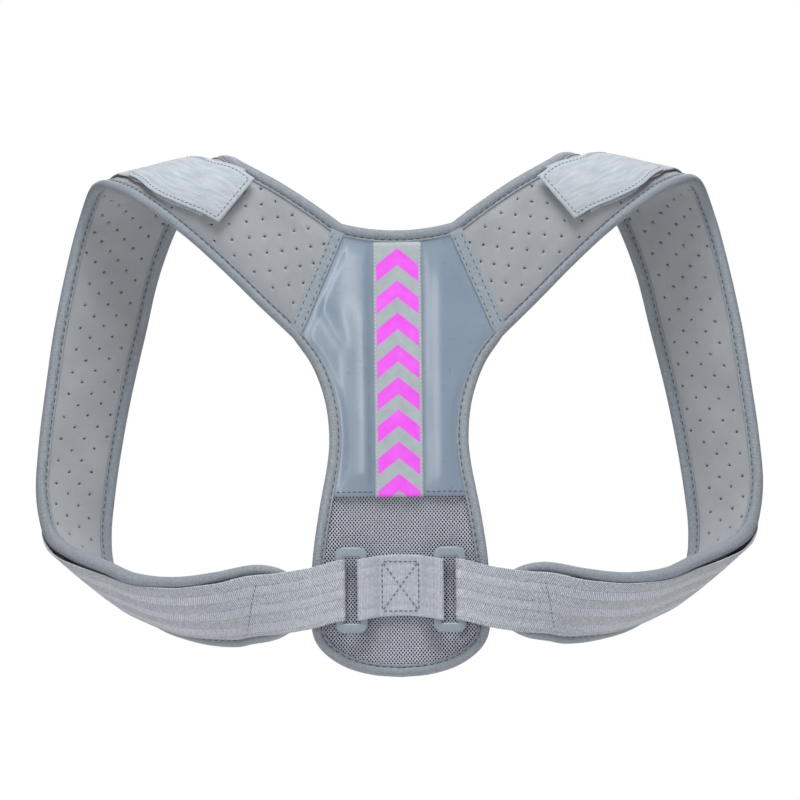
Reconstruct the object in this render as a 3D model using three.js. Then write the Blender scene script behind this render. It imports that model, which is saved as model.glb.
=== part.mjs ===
// A posture corrector in its worn form: a back panel shaped like a Y, a padded band round each
// shoulder and arm, and webbing that meets in two plastic rings at the small of the back.
// Millimetres. +Z is up, +X is to the right seen from behind the wearer, and +Y is towards the chest.
// The origin lies midway between the two places where the bands bear on the shoulders.
import * as THREE from "three";

// Overall sizes. "Down" is measured from the highest shoulder edge, "out" from the centre line.
const REACH = 227; // centre line to the outermost edge of an arm band
const ARM_DROP = 306; // highest shoulder edge to the lowest edge of the band under the arm
const LOOP_DEPTH = 105; // back panel to the front of the shoulder
const BACK_BOW = 30; // how far the back curves forward at the full reach
const SHOULDER_DOWN = 14; // where a band bears on the shoulder
const SHOULDER_FRONT = 47; // the same place, in front of the back panel

// The back panel.
const NECK_DOWN = 49; // neckline at the centre
const SEAM_TOP = { out: 34, down: 44.5 }; // where the arm seam meets the neckline
const SEAM_FOOT = { out: 64.5, down: 115 }; // where the arm seam meets the outer edge
const LOBE_HALF = 55; // half the width of the lower lobe
const LOBE_BELOW_RING = 54; // ring centre to the bottom of the lobe
const LEATHER_DROP = 164; // neckline to the hem of the leatherette
const RIBBON_WIDTH = 30;

// Layers, measured outwards from the side that lies on the body.
const PAD = 4; // foam pad with its two faces
const MESH = 2.6; // air mesh
const TAPE = 0.8; // ribbon and seam tapes
const BINDING = 0.9; // wall of the folded binding
const BINDING_WIDTH = 7.5;
const WEB = 1.2; // webbing
const WEB_WIDTH = 38;
const TAB = 1; // hook-and-loop end
const TAB_WIDTH = 36;
const SEAM_TAPE_WIDTH = 8.7;
const GAP = 0.4; // clearance between neighbouring layers
const CROWN = 2; // how far a pad is rounded across its width
const STAND_OFF = 3; // how far the webbing stands off the pad at the turn under the arm

// The rings and what is threaded through them.
const RING_OUT = 30; // centre line to the middle of a ring
const RING_RISE = 35; // lowest edge of the band to the middle of a ring
const RING_BAR = 5; // width of the bars that carry webbing
const RING_END = 6; // width of the bars at the top and bottom
const RING_THICK = 3.5;
const RING_GAP = 10; // clear width of the slot
const RING_SLOT_SPARE = 3; // how much longer the slot is than the webbing is wide
const SEWN_HALF = 11.5; // half the width over which the centre webbing is sewn flat
const WEB_ARCH = 3; // how far the middle of the centre webbing lies above its ends
const RING_EDGE = 0.7; // rounding of the ring's edges

// An arm band, from the row after the seam to its square end. Each row gives the lateral and the
// medial edge: out as a share of REACH, down as a share of ARM_DROP, and front from 0 on the curve of
// the back to 1 at the front of the shoulder.
const BAND_ROWS = [
  { at: "wing", lateral: [0.374, 0.311, 0.0], medial: [0.224, 0.105, 0.0] },
  { at: "wing", lateral: [0.473, 0.237, 0.01], medial: [0.309, 0.064, 0.02] },
  { at: "wing", lateral: [0.557, 0.179, 0.03], medial: [0.374, 0.038, 0.05] },
  { at: "wing", lateral: [0.642, 0.13, 0.08], medial: [0.413, 0.026, 0.11] },
  { at: "crest", lateral: [0.721, 0.094, 0.18], medial: [0.434, 0.021, 0.2] },
  { at: "crest", lateral: [0.779, 0.076, 0.34], medial: [0.454, 0.02, 0.33] },
  { at: "crest", lateral: [0.817, 0.071, 0.53], medial: [0.473, 0.025, 0.48] },
  { at: "crest", lateral: [0.842, 0.084, 0.72], medial: [0.508, 0.048, 0.68] },
  { at: "front", lateral: [0.863, 0.119, 0.85], medial: [0.557, 0.094, 0.84] },
  { at: "front", lateral: [0.885, 0.168, 0.92], medial: [0.609, 0.16, 0.93] },
  { at: "front", lateral: [0.913, 0.252, 0.95], medial: [0.656, 0.252, 0.98] },
  { at: "front", lateral: [0.942, 0.357, 0.95], medial: [0.691, 0.359, 1.0] },
  { at: "front", lateral: [0.967, 0.479, 0.95], medial: [0.732, 0.485, 1.0] },
  { at: "front", lateral: [0.987, 0.592, 0.94], medial: [0.762, 0.598, 1.0] },
  { at: "turn", lateral: [0.994, 0.677, 0.9], medial: [0.781, 0.692, 0.98] },
  { at: "turn", lateral: [0.981, 0.733, 0.8], medial: [0.79, 0.77, 0.93] },
  { at: "turn", lateral: [0.956, 0.767, 0.66], medial: [0.783, 0.829, 0.84] },
  { at: "turn", lateral: [0.918, 0.787, 0.5], medial: [0.756, 0.878, 0.73] },
  { at: "turn", lateral: [0.866, 0.805, 0.34], medial: [0.712, 0.914, 0.62] },
  { at: "turn", lateral: [0.805, 0.822, 0.2], medial: [0.656, 0.945, 0.51] },
  { at: "return", lateral: [0.725, 0.846, 0.08], medial: [0.588, 0.97, 0.4] },
  { at: "return", lateral: [0.615, 0.854, 0.02], medial: [0.508, 0.986, 0.31] },
  { at: "return", lateral: [0.505, 0.845, 0.0], medial: [0.437, 0.992, 0.23] },
  { at: "return", lateral: [0.41, 0.832, 0.0], medial: [0.383, 0.988, 0.14] },
  { at: "tip", lateral: [0.268, 0.827, 0.0], medial: [0.262, 0.984, 0.03] },
];
const TIP_END = BAND_ROWS.length; // row number of the square end, counting the seam as row 0
const TIP_START = TIP_END - 1; // where the rounding of the tip starts
const TIP_SQUARENESS = 2.4; // 2 rounds the tip as an ellipse, more makes it squarer

// The outer edge of the back panel, below the seam: out as a share of LOBE_HALF, down as a share of
// the panel's length from the neckline.
const SIDE_ROWS = [
  { at: "waist", out: 0.96, down: 0.303 },
  { at: "waist", out: 0.82, down: 0.384 },
  { at: "waist", out: 0.78, down: 0.465 },
  { at: "waist", out: 0.803, down: 0.519 },
  { at: "lobe", out: 0.904, down: 0.627 },
  { at: "lobe", out: 0.983, down: 0.735 },
  { at: "lobe", out: 1.0, down: 0.82 },
  { at: "lobe", out: 0.995, down: 0.895 },
  { at: "corner", out: 0.938, down: 0.926 },
  { at: "corner", out: 0.82, down: 0.952 },
  { at: "corner", out: 0.618, down: 0.977 },
  { at: "bottom", out: 0.33, down: 0.994 },
];

// Where the middle of the webbing lies across the band, from -1 at the lateral edge to 1 at the medial
// edge, at rows of the band.
const WEB_ROWS = [
  { row: 2, across: 0.2 },
  { row: 3, across: 0.12 },
  { row: 5, across: -0.06 },
  { row: 6.5, across: -0.14 },
  { row: 8, across: -0.12 },
  { row: 10, across: 0 },
  { row: 15, across: 0 },
  { row: 18, across: -0.08 },
  { row: 22, across: -0.08 },
  { row: TIP_END, across: 0 },
];
const TAB_END_ROW = 2.72;
const TAB_LIFT = { lying: 0.4, free: 1.6 }; // how far the tab lifts off the webbing, and at its end
const WEB_END_ROW = 3.2; // the webbing stops under the tab
const SEWN_ROW = 23.4; // where the inner end of the webbing is sewn on the pad
const TURN_ROW = { from: 15.5, to: 21 }; // where the webbing stands off

const ringDown = ARM_DROP - RING_RISE;
const lobeDown = ringDown + LOBE_BELOW_RING;
const panelDrop = lobeDown - NECK_DOWN;
const webTurn = RING_THICK / 2 + GAP + WEB / 2; // radius of the webbing round a bar
const barOffset = (RING_GAP + RING_BAR) / 2; // ring centre to the middle of a bar
const webBase = PAD + 2 * GAP + BINDING + WEB / 2; // middle of the webbing where it lies on the pad
const ringHeight = webBase + webTurn;
const edgeInset = BINDING + GAP; // free edge to the edge of the layer inside the binding

const vec = (x, y, z) => new THREE.Vector3(x, y, z);
const mix = THREE.MathUtils.lerp;
const ease = (x, from, to) => THREE.MathUtils.smoothstep(x, from, to);

// The curve of the back. Heights are measured along its outward normal.
const backFront = (x) => BACK_BOW * (x / REACH) ** 2;

const backSlope = (x) => (2 * BACK_BOW * x) / REACH ** 2;

function onBack(x, down, height) {
  const outward = vec(backSlope(x), -1, 0).normalize();
  return vec(x, backFront(x), -down).addScaledVector(outward, height);
}

// A closed body from a list of points and triangles, turned to face outwards.
function closedBody(points, triangles) {
  let volume = 0;
  for (const [a, b, c] of triangles) {
    volume += points[a].dot(vec(0, 0, 0).crossVectors(points[b], points[c]));
  }
  const index = triangles.flatMap(([a, b, c]) => (volume < 0 ? [a, c, b] : [a, b, c]));
  const geometry = new THREE.BufferGeometry().setFromPoints(points);
  geometry.setIndex(index);
  geometry.computeVertexNormals();
  return geometry;
}

// A body swept through rings of points. cap lists the triangles that close a ring.
function sweptBody(rings, cap) {
  const corners = rings[0].length;
  const closed = cap.length === 0;
  const points = rings.flat();
  const triangles = [];
  const spans = closed ? rings.length : rings.length - 1;
  for (let i = 0; i < spans; i++) {
    const near = i * corners;
    const far = ((i + 1) % rings.length) * corners;
    for (let j = 0; j < corners; j++) {
      const next = (j + 1) % corners;
      triangles.push([near + j, near + next, far + next], [near + j, far + next, far + j]);
    }
  }
  const last = (rings.length - 1) * corners;
  for (const [a, b, c] of cap) {
    triangles.push([a, c, b], [last + a, last + b, last + c]);
  }
  return closedBody(points, triangles);
}

// The end of a strip: its near face has the given number of columns, and its far face runs back.
function stripCap(columns) {
  const cap = [];
  for (let j = 0; j < columns - 1; j++) {
    const back = 2 * columns - 1 - j;
    cap.push([j, j + 1, back - 1], [j, back - 1, back]);
  }
  return cap;
}

// A layer between two heights over a grid: place(row, column, height) gives each point.
function layerBody(rows, columns, place, low, high) {
  const rings = [];
  for (let i = 0; i < rows; i++) {
    const near = Array.from({ length: columns }, (_, j) => place(i, j, low));
    const far = Array.from({ length: columns }, (_, j) => place(i, j, high));
    rings.push([...near, ...far.reverse()]);
  }
  return sweptBody(rings, stripCap(columns));
}

// The band's surface on the body side. u counts rows from the seam, v runs from -1 at the lateral
// edge to 1 at the medial edge. It is worked out for the +X side, and the other side is its mirror.
function bandEdge(pick) {
  const seam = pick === "lateral" ? SEAM_FOOT : SEAM_TOP;
  const points = [vec(seam.out, backFront(seam.out), -seam.down)];
  for (const row of BAND_ROWS) {
    const [out, down, front] = row[pick];
    const x = out * REACH;
    points.push(vec(x, mix(backFront(x), LOOP_DEPTH, front), -down * ARM_DROP));
  }
  const half = WEB_WIDTH / 2 + RING_END;
  const ringX = RING_OUT + barOffset - RING_BAR;
  points.push(vec(ringX, backFront(ringX), -ringDown + (pick === "lateral" ? half : -half)));
  return new THREE.CatmullRomCurve3(points, false, "centripetal");
}
const lateralEdge = bandEdge("lateral");
const medialEdge = bandEdge("medial");
const RING_ROW = TIP_END + 1;

function ruled(u, v) {
  const t = Math.min(Math.max(u / RING_ROW, 0), 1);
  return lateralEdge.getPoint(t).lerp(medialEdge.getPoint(t), (v + 1) / 2);
}

const NUDGE = 1e-3;
function slopes(surface, u, v) {
  const low = Math.min(Math.max(u, NUDGE), RING_ROW - NUDGE);
  const along = surface(low + NUDGE, v).sub(surface(low - NUDGE, v)).divideScalar(2 * NUDGE);
  const across = surface(u, v + NUDGE).sub(surface(u, v - NUDGE)).divideScalar(2 * NUDGE);
  const normal = vec(0, 0, 0).crossVectors(along, across).normalize();
  return { along, across, normal };
}

function band(u, v) {
  const fade = ease(u, 0, 3) * (1 - ease(u, TIP_START - 1, TIP_END));
  const { normal } = slopes(ruled, u, v);
  return ruled(u, v).addScaledVector(normal, CROWN * fade * (1 - v * v));
}

function onBand(u, v, height) {
  return band(u, v).addScaledVector(slopes(band, u, v).normal, height);
}

// The pad's outline: how much of the band's width it takes at each of its rows.
const TIP_STEPS = 6;
const TIP_LAST = 0.94; // share of a quarter turn where the tip is squared off
const STRAIGHT = { from: 10, to: 14 }; // rows down the front, where whole rows are close enough
const padRows = [];
for (let u = 0; u < TIP_START; u += u >= STRAIGHT.from && u < STRAIGHT.to ? 1 : 0.5) {
  padRows.push({ u, half: 1 });
}
for (let i = 0; i <= TIP_STEPS; i++) {
  const turn = ((i / TIP_STEPS) * TIP_LAST * Math.PI) / 2;
  const power = 2 / TIP_SQUARENESS;
  padRows.push({ u: TIP_START + Math.sin(turn) ** power, half: Math.cos(turn) ** power });
}

// Moves a place on the outline inwards by a distance: along the row, or at the tip to its middle.
function inwards(u, v, distance) {
  const { along, across } = slopes(band, u, v);
  const du = Math.min(0, TIP_START - u);
  const way = vec(0, 0, 0).addScaledVector(along, du).addScaledVector(across, -v);
  const length = way.length();
  const straight = u <= TIP_START;
  const crossed = vec(0, 0, 0).crossVectors(way, along).length() / length / along.length();
  const squareness = straight ? crossed : 1;
  const share = distance / squareness / length;
  return [u + du * share, v - v * share];
}

const mirrored = (point, side) => vec(point.x * side, point.y, point.z);

// The foam pad inside the binding.
const PAD_COLUMNS = 5;
const PINCH = 0.3; // how much each face of the pad is drawn in at its sewn edges
function armPad(side) {
  const place = (i, j, height) => {
    const { u, half } = padRows[i];
    const [lateralU, lateralV] = inwards(u, -half, edgeInset);
    const [medialU, medialV] = inwards(u, half, edgeInset);
    const share = j / (PAD_COLUMNS - 1);
    const pinched = j % (PAD_COLUMNS - 1) === 0 ? mix(PINCH, PAD - PINCH, height / PAD) : height;
    return mirrored(onBand(mix(lateralU, medialU, share), mix(lateralV, medialV, share), pinched), side);
  };
  return layerBody(padRows.length, PAD_COLUMNS, place, 0, PAD);
}

// The folded binding: its profile as distance in from the edge and height, round a layer.
function bindingProfile(thick) {
  const low = -GAP;
  const high = thick + GAP;
  return [
    [BINDING_WIDTH, low - BINDING],
    [BINDING, low - BINDING],
    [0, low],
    [0, high],
    [BINDING, high + BINDING],
    [BINDING_WIDTH, high + BINDING],
    [BINDING_WIDTH, high],
    [BINDING, high],
    [BINDING, low],
    [BINDING_WIDTH, low],
  ];
}

const BINDING_CAP = [
  [0, 1, 8], [0, 8, 9], [1, 2, 8], [2, 3, 7], [2, 7, 8], [3, 4, 7], [4, 5, 6], [4, 6, 7],
];

function bandBindingRings(side, edge) {
  return padRows.map(({ u, half }) =>
    bindingProfile(PAD).map(([depth, height]) => {
      const [insetU, insetV] = inwards(u, edge * half, depth);
      return mirrored(onBand(insetU, insetV, height), side);
    }),
  );
}

// A binding ring on the back panel, at a place on its edge and along a direction inwards.
function backBindingRing(x, down, inX, inDown, thick) {
  const length = Math.hypot(inX, inDown);
  return bindingProfile(thick).map(([depth, height]) =>
    onBack(x + (inX / length) * depth, down + (inDown / length) * depth, height),
  );
}

const seamRun = { out: SEAM_FOOT.out - SEAM_TOP.out, down: SEAM_FOOT.down - SEAM_TOP.down };
const neckDown = (x) => mix(NECK_DOWN, SEAM_TOP.down, (x / SEAM_TOP.out) ** 2);
const NECK_STEPS = 8;
function neckBinding() {
  const rings = bandBindingRings(-1, 1).reverse();
  for (let i = 1; i < NECK_STEPS; i++) {
    const x = mix(-SEAM_TOP.out, SEAM_TOP.out, i / NECK_STEPS);
    const lean = (x / SEAM_TOP.out) * (seamRun.out / seamRun.down);
    rings.push(backBindingRing(x, neckDown(x), lean, 1, PAD));
  }
  rings.push(...bandBindingRings(1, 1));
  return sweptBody(rings, BINDING_CAP);
}

// The panel's side, from the foot of the seam to near the bottom's middle.
const sideCurve = new THREE.CatmullRomCurve3(
  [
    vec(SEAM_FOOT.out, SEAM_FOOT.down, 0),
    ...SIDE_ROWS.map(({ out, down }) => vec(out * LOBE_HALF, NECK_DOWN + down * panelDrop, 0)),
    vec(0, lobeDown, 0),
  ],
  false,
  "centripetal",
);
const SIDE_STEPS = 26;
const hemDown = NECK_DOWN + LEATHER_DROP;
const HEM_STEP = 12; // length over which the binding thins below the hem
const backThick = (down) => mix(PAD, MESH, ease(down, hemDown + HEM_STEP, hemDown + 3 * HEM_STEP));
const TURN_IN = 0.12; // share of the side over which the binding turns square to the edge

function sidePlace(t) {
  const point = sideCurve.getPoint(t);
  const before = sideCurve.getPoint(Math.max(t - NUDGE, 0));
  const after = sideCurve.getPoint(Math.min(t + NUDGE, 1));
  const run = after.sub(before).normalize();
  return { x: point.x, down: point.y, inX: -run.y, inDown: run.x };
}

function backSideRings(side) {
  const rings = [];
  for (let i = 1; i < SIDE_STEPS; i++) {
    const t = i / SIDE_STEPS;
    const { x, down, inX, inDown } = sidePlace(t);
    const turned = ease(t, 0, TURN_IN);
    const length = Math.hypot(seamRun.out, seamRun.down);
    const wayX = mix(-seamRun.out / length, inX, turned);
    const wayDown = mix(-seamRun.down / length, inDown, turned);
    rings.push(backBindingRing(side * x, down, side * wayX, wayDown, backThick(down)));
  }
  return rings;
}

function sideBinding() {
  const rings = bandBindingRings(-1, -1).reverse();
  rings.push(...backSideRings(-1));
  rings.push(backBindingRing(0, lobeDown, 0, -1, MESH));
  rings.push(...backSideRings(1).reverse());
  rings.push(...bandBindingRings(1, -1));
  return sweptBody(rings, BINDING_CAP);
}

// The layers of the back panel are rows from side to side, from the neckline down.
const SEAM_STEPS = 4;
const PANEL_COLUMNS = 9;
function panelSides(lastT) {
  const sides = [];
  const length = Math.hypot(seamRun.out, seamRun.down);
  const first = edgeInset / length;
  for (let i = 0; i < SEAM_STEPS; i++) {
    const share = mix(first, 1 - 2 * first, i / (SEAM_STEPS - 1));
    const out = SEAM_TOP.out + seamRun.out * share - (GAP * length) / seamRun.down;
    sides.push({ out, down: SEAM_TOP.down + seamRun.down * share });
  }
  const steps = Math.round(SIDE_STEPS * lastT);
  for (let i = 1; i <= steps; i++) {
    const { x, down, inX, inDown } = sidePlace((i / steps) * lastT);
    sides.push({ out: x + inX * edgeInset, down: down + inDown * edgeInset });
  }
  return sides;
}

const FOOT_STEPS = 3; // the last rows of a layer, which bend down to its foot in the middle
function panelLayer(sides, bottomSag, low, high) {
  const topSag = NECK_DOWN - SEAM_TOP.down;
  const last = sides.length - 1;
  const place = (i, j, height) => {
    const { out, down } = sides[i];
    const across = (2 * j) / (PANEL_COLUMNS - 1) - 1;
    const sag = topSag * (1 - ease(i, 0, SEAM_STEPS)) + bottomSag * ease(i, last - FOOT_STEPS, last);
    return onBack(across * out, down + sag * (1 - across ** 2), height);
  };
  return layerBody(sides.length, PANEL_COLUMNS, place, low, high);
}

const BOTTOM_T = 12.2 / (SIDE_ROWS.length + 1); // the last row of the mesh, past the lobe's corner
function meshPanel() {
  const sides = panelSides(BOTTOM_T);
  const foot = sides[sides.length - 1];
  return panelLayer(sides, lobeDown - edgeInset - foot.down, 0, MESH);
}

function leatherettePanel() {
  let t = 0;
  while (sideCurve.getPoint(t).y < hemDown) {
    t += NUDGE;
  }
  return panelLayer(panelSides(t), 0, MESH + GAP, PAD);
}

function chevronRibbon() {
  const steps = 9;
  const top = NECK_DOWN + BINDING_WIDTH + GAP;
  const columns = 3;
  const place = (i, j, height) => {
    const x = mix(-RIBBON_WIDTH / 2, RIBBON_WIDTH / 2, j / (columns - 1));
    return onBack(x, mix(top, hemDown, i / (steps - 1)), height);
  };
  return layerBody(steps, columns, place, PAD + GAP, PAD + GAP + TAPE);
}

function seamTape(side) {
  const length = Math.hypot(seamRun.out, seamRun.down);
  const spare = BINDING_WIDTH + 2 * GAP;
  const steps = 5;
  const columns = 3;
  const place = (i, j, height) => {
    const run = mix(spare * 1.25, length - spare * 1.45, i / (steps - 1)) / length;
    const aside = mix(-SEAM_TAPE_WIDTH / 2, SEAM_TAPE_WIDTH / 2, j / (columns - 1)) / length;
    const out = SEAM_TOP.out + seamRun.out * run + seamRun.down * aside;
    const down = SEAM_TOP.down + seamRun.down * run - seamRun.out * aside;
    return onBack(side * out, down, height);
  };
  return layerBody(steps, columns, place, PAD + GAP, PAD + GAP + TAPE);
}

// Where a strip lies across the band at a row, from its table.
function webMiddle(u) {
  const next = WEB_ROWS.findIndex(({ row }) => row >= u);
  if (next <= 0) {
    return WEB_ROWS[next === 0 ? 0 : WEB_ROWS.length - 1].across;
  }
  const [from, to] = [WEB_ROWS[next - 1], WEB_ROWS[next]];
  return mix(from.across, to.across, ease(u, from.row, to.row));
}

// A section of a strip on the band: its middle at a height, turned about the width by an angle.
const STRIP_COLUMNS = 4;
function stripRing(u, middle, height, width, thick, turn, side) {
  const { along, across } = slopes(band, u, middle);
  const square = vec(0, 0, 0).crossVectors(along, across).length() / along.length() / across.length();
  const half = width / 2 / square / across.length();
  const corner = (column, face) => {
    const v = middle + mix(-half, half, column / (STRIP_COLUMNS - 1));
    const here = slopes(band, u, v);
    const point = band(u, v).addScaledVector(here.normal, height + (face * Math.cos(turn) * thick) / 2);
    return mirrored(point, side);
  };
  const near = Array.from({ length: STRIP_COLUMNS }, (_, j) => corner(j, -1));
  const far = Array.from({ length: STRIP_COLUMNS }, (_, j) => corner(j, 1));
  return [...near, ...far.reverse()];
}

// A section of the webbing between the pad's tip and the ring, at a place across the back.
const barX = RING_OUT + barOffset;
const tipMiddle = band(TIP_END, 0);
function ringStripRing(x, height, turn, side) {
  const share = THREE.MathUtils.clamp((x - barX) / (tipMiddle.x - barX), 0, 1);
  const down = mix(ringDown, -tipMiddle.z, share);
  const corner = (column, face) => {
    const aside = mix(-WEB_WIDTH / 2, WEB_WIDTH / 2, column / (STRIP_COLUMNS - 1));
    const proud = (face * Math.cos(turn) * WEB) / 2;
    return onBack(side * (x + (face * Math.sin(turn) * WEB) / 2), down + aside, height + proud);
  };
  const near = Array.from({ length: STRIP_COLUMNS }, (_, j) => corner(j, -1));
  const far = Array.from({ length: STRIP_COLUMNS }, (_, j) => corner(j, 1));
  return [...near, ...far.reverse()];
}

function standOff(u) {
  const middle = (TURN_ROW.from + TURN_ROW.to) / 2;
  return STAND_OFF * ease(u, TURN_ROW.from, middle) * (1 - ease(u, middle, TURN_ROW.to));
}

const TURN_STEPS = 6;
const TIP_WEB_ROWS = [SEWN_ROW, TIP_START, (TIP_START + TIP_END) / 2];
const NEAR_TIP = 0.7; // share of the way from the ring's bar to the pad's tip
const FALLEN_AT_TIP = 0.6; // how far the upper layer has come down there
function armWebbing(side) {
  const rings = [];
  const add = (u, height, turn) => {
    rings.push(stripRing(u, webMiddle(u), height, WEB_WIDTH, WEB, turn, side));
  };
  const addNearRing = (x, height, turn) => rings.push(ringStripRing(x, height, turn, side));
  const doubled = webBase + WEB + GAP;
  const roundBar = barX - RING_BAR / 2 + RING_THICK / 2;
  const clearOfBar = barX + RING_BAR / 2 + WEB;
  for (const u of TIP_WEB_ROWS) {
    add(u, webBase, 0);
  }
  addNearRing(mix(clearOfBar, tipMiddle.x, NEAR_TIP), webBase, 0);
  addNearRing(clearOfBar, webBase, 0);
  for (let i = 0; i <= TURN_STEPS; i++) {
    const turn = (i / TURN_STEPS) * Math.PI;
    addNearRing(roundBar - Math.sin(turn) * webTurn, ringHeight - Math.cos(turn) * webTurn, turn);
  }
  addNearRing(clearOfBar, ringHeight + webTurn, Math.PI);
  const fallen = mix(ringHeight + webTurn, doubled, FALLEN_AT_TIP);
  addNearRing(mix(clearOfBar, tipMiddle.x, NEAR_TIP), fallen, Math.PI);
  for (const u of [...TIP_WEB_ROWS].reverse()) {
    add(u, doubled, Math.PI);
  }
  for (let u = SEWN_ROW - 0.4; u > WEB_END_ROW; u -= 0.5) {
    add(u, mix(webBase, doubled, ease(u, SEWN_ROW - 0.9, SEWN_ROW)) + standOff(u), Math.PI);
  }
  add(WEB_END_ROW, webBase, Math.PI);
  return sweptBody(rings, stripCap(STRIP_COLUMNS));
}

const TAB_LIES_FROM = 4.5; // row of the band from which the tab lies flat
const TAB_ROWS = [3.5, 4, TAB_LIES_FROM, 5, 5.5, 6];
function shoulderTab(side) {
  const rings = [];
  const lying = webBase + WEB / 2 + GAP + TAB / 2 + TAB_LIFT.lying;
  for (const u of [TAB_END_ROW, WEB_END_ROW, ...TAB_ROWS]) {
    const height = lying + TAB_LIFT.free * (1 - ease(u, TAB_END_ROW, TAB_LIES_FROM));
    rings.push(stripRing(u, webMiddle(u), height, TAB_WIDTH, TAB, 0, side));
  }
  return sweptBody(rings, stripCap(STRIP_COLUMNS));
}

// A rectangle with round corners, as a shape or a hole.
function roundedRectangle(kind, width, height, radius) {
  const [x, y] = [width / 2, height / 2];
  const path = new kind();
  path.moveTo(-x + radius, -y);
  path.lineTo(x - radius, -y);
  path.absarc(x - radius, -y + radius, radius, -Math.PI / 2, 0);
  path.lineTo(x, y - radius);
  path.absarc(x - radius, y - radius, radius, 0, Math.PI / 2);
  path.lineTo(-x + radius, y);
  path.absarc(-x + radius, y - radius, radius, Math.PI / 2, Math.PI);
  path.lineTo(-x, -y + radius);
  path.absarc(-x + radius, -y + radius, radius, Math.PI, 1.5 * Math.PI);
  return path;
}

function ring() {
  const slot = WEB_WIDTH + RING_SLOT_SPARE;
  const inset = 2 * RING_EDGE;
  const outline = roundedRectangle(
    THREE.Shape, RING_GAP + 2 * RING_BAR - inset, slot + 2 * RING_END - inset, RING_END - RING_EDGE,
  );
  outline.holes.push(roundedRectangle(THREE.Path, RING_GAP + inset, slot + inset, RING_EDGE * 2));
  const geometry = new THREE.ExtrudeGeometry(outline, {
    depth: RING_THICK - inset,
    bevelThickness: RING_EDGE,
    bevelSize: RING_EDGE,
    bevelSegments: 1,
    curveSegments: 3,
  });
  geometry.translate(0, 0, -(RING_THICK - inset) / 2);
  geometry.rotateX(Math.PI / 2);
  return geometry;
}

// The centre webbing is one loop round the inner bars, drawn together where it is sewn.
function centreWebbing() {
  const middleLow = MESH + GAP + WEB / 2;
  const middleHigh = middleLow + WEB + GAP;
  const turnX = RING_OUT - barOffset + RING_BAR / 2 - RING_THICK / 2;
  const barEdge = RING_OUT - barOffset - RING_BAR / 2 - WEB;
  const sloping = [0.66, 0.33].map((share) => -mix(SEWN_HALF, barEdge, share));
  const stops = [-turnX, -barEdge, ...sloping, -SEWN_HALF, 0];
  const places = [...stops, ...stops.slice(1, -1).reverse().map((x) => -x)];
  const path = [];
  for (const [way, middle, end, face] of [
    [1, middleLow, ringHeight - webTurn, -1],
    [-1, middleHigh, ringHeight + webTurn, 1],
  ]) {
    for (const place of places) {
      const rise = ease(Math.abs(place), SEWN_HALF, barEdge);
      path.push({ x: place * way, height: mix(middle, end, rise), nx: 0, nh: face });
    }
    for (let i = 0; i < TURN_STEPS; i++) {
      const turn = (i / TURN_STEPS) * Math.PI;
      const nx = Math.sin(turn) * way;
      const nh = face * Math.cos(turn);
      path.push({ x: turnX * way + nx * webTurn, height: ringHeight + nh * webTurn, nx, nh });
    }
  }
  const rings = path.map(({ x, height, nx, nh }) => {
    const rise = WEB_ARCH * (1 - (x / (turnX + webTurn)) ** 2);
    const corner = (end, face) => {
      const outwards = (face * WEB) / 2;
      return onBack(x + outwards * nx, ringDown - rise + (end * WEB_WIDTH) / 2, height + outwards * nh);
    };
    return [corner(-1, -1), corner(1, -1), corner(1, 1), corner(-1, 1)];
  });
  return sweptBody(rings, []);
}

const finish = (color, roughness) => new THREE.MeshStandardMaterial({ color, roughness, metalness: 0 });
const LEATHERETTE = finish(0x97a5b3, 0.38);
const AIR_MESH = finish(0x858993, 0.9);
const RIBBON = finish(0xb4bdc2, 0.6);
const SEAM_TAPE = finish(0x97a4ae, 0.8);
const PAD_FABRIC = finish(0xa6a9ab, 0.9);
const BINDING_TAPE = finish(0x9aa5af, 0.6);
const WEBBING = finish(0xb0b6c0, 0.7);
const TAB_FABRIC = finish(0xc3ced6, 0.8);
const RING_PLASTIC = finish(0xa0aab1, 0.45);

const corrector = new THREE.Group();
corrector.position.set(0, -SHOULDER_FRONT, SHOULDER_DOWN);
function addPiece(name, geometry, material) {
  const piece = new THREE.Mesh(geometry, material.clone());
  piece.name = name;
  corrector.add(piece);
  return piece;
}

addPiece("mesh_panel", meshPanel(), AIR_MESH);
addPiece("leatherette_panel", leatherettePanel(), LEATHERETTE);
addPiece("chevron_ribbon", chevronRibbon(), RIBBON);
addPiece("neck_binding", neckBinding(), BINDING_TAPE);
addPiece("side_binding", sideBinding(), BINDING_TAPE);
addPiece("centre_webbing", centreWebbing(), WEBBING);
for (const [where, side] of [["left", -1], ["right", 1]]) {
  addPiece(`seam_tape_${where}`, seamTape(side), SEAM_TAPE);
  addPiece(`arm_pad_${where}`, armPad(side), PAD_FABRIC);
  addPiece(`arm_webbing_${where}`, armWebbing(side), WEBBING);
  addPiece(`shoulder_tab_${where}`, shoulderTab(side), TAB_FABRIC);
  const piece = addPiece(`ring_${where}`, ring(), RING_PLASTIC);
  piece.position.copy(onBack(side * RING_OUT, ringDown, ringHeight));
  piece.rotation.z = side * Math.atan(backSlope(RING_OUT));
}

export default corrector;
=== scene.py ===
# %% [markdown]
# # A posture corrector, finished piece by piece
# The construction model already has every piece at its real size and place: a back panel, two padded
# arm bands, bindings, webbing and two plastic rings. Here each piece gets the surface of the real one:
# pressed foam with punched holes, glossy leatherette, an open air mesh, woven webbing and sewn tape.
# Lengths are worked out in millimetres, in the object's own frame, and turned to metres at the end.

import math

import bmesh
import bpy
import numpy as np
from mathutils import Matrix, Vector, noise


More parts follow.
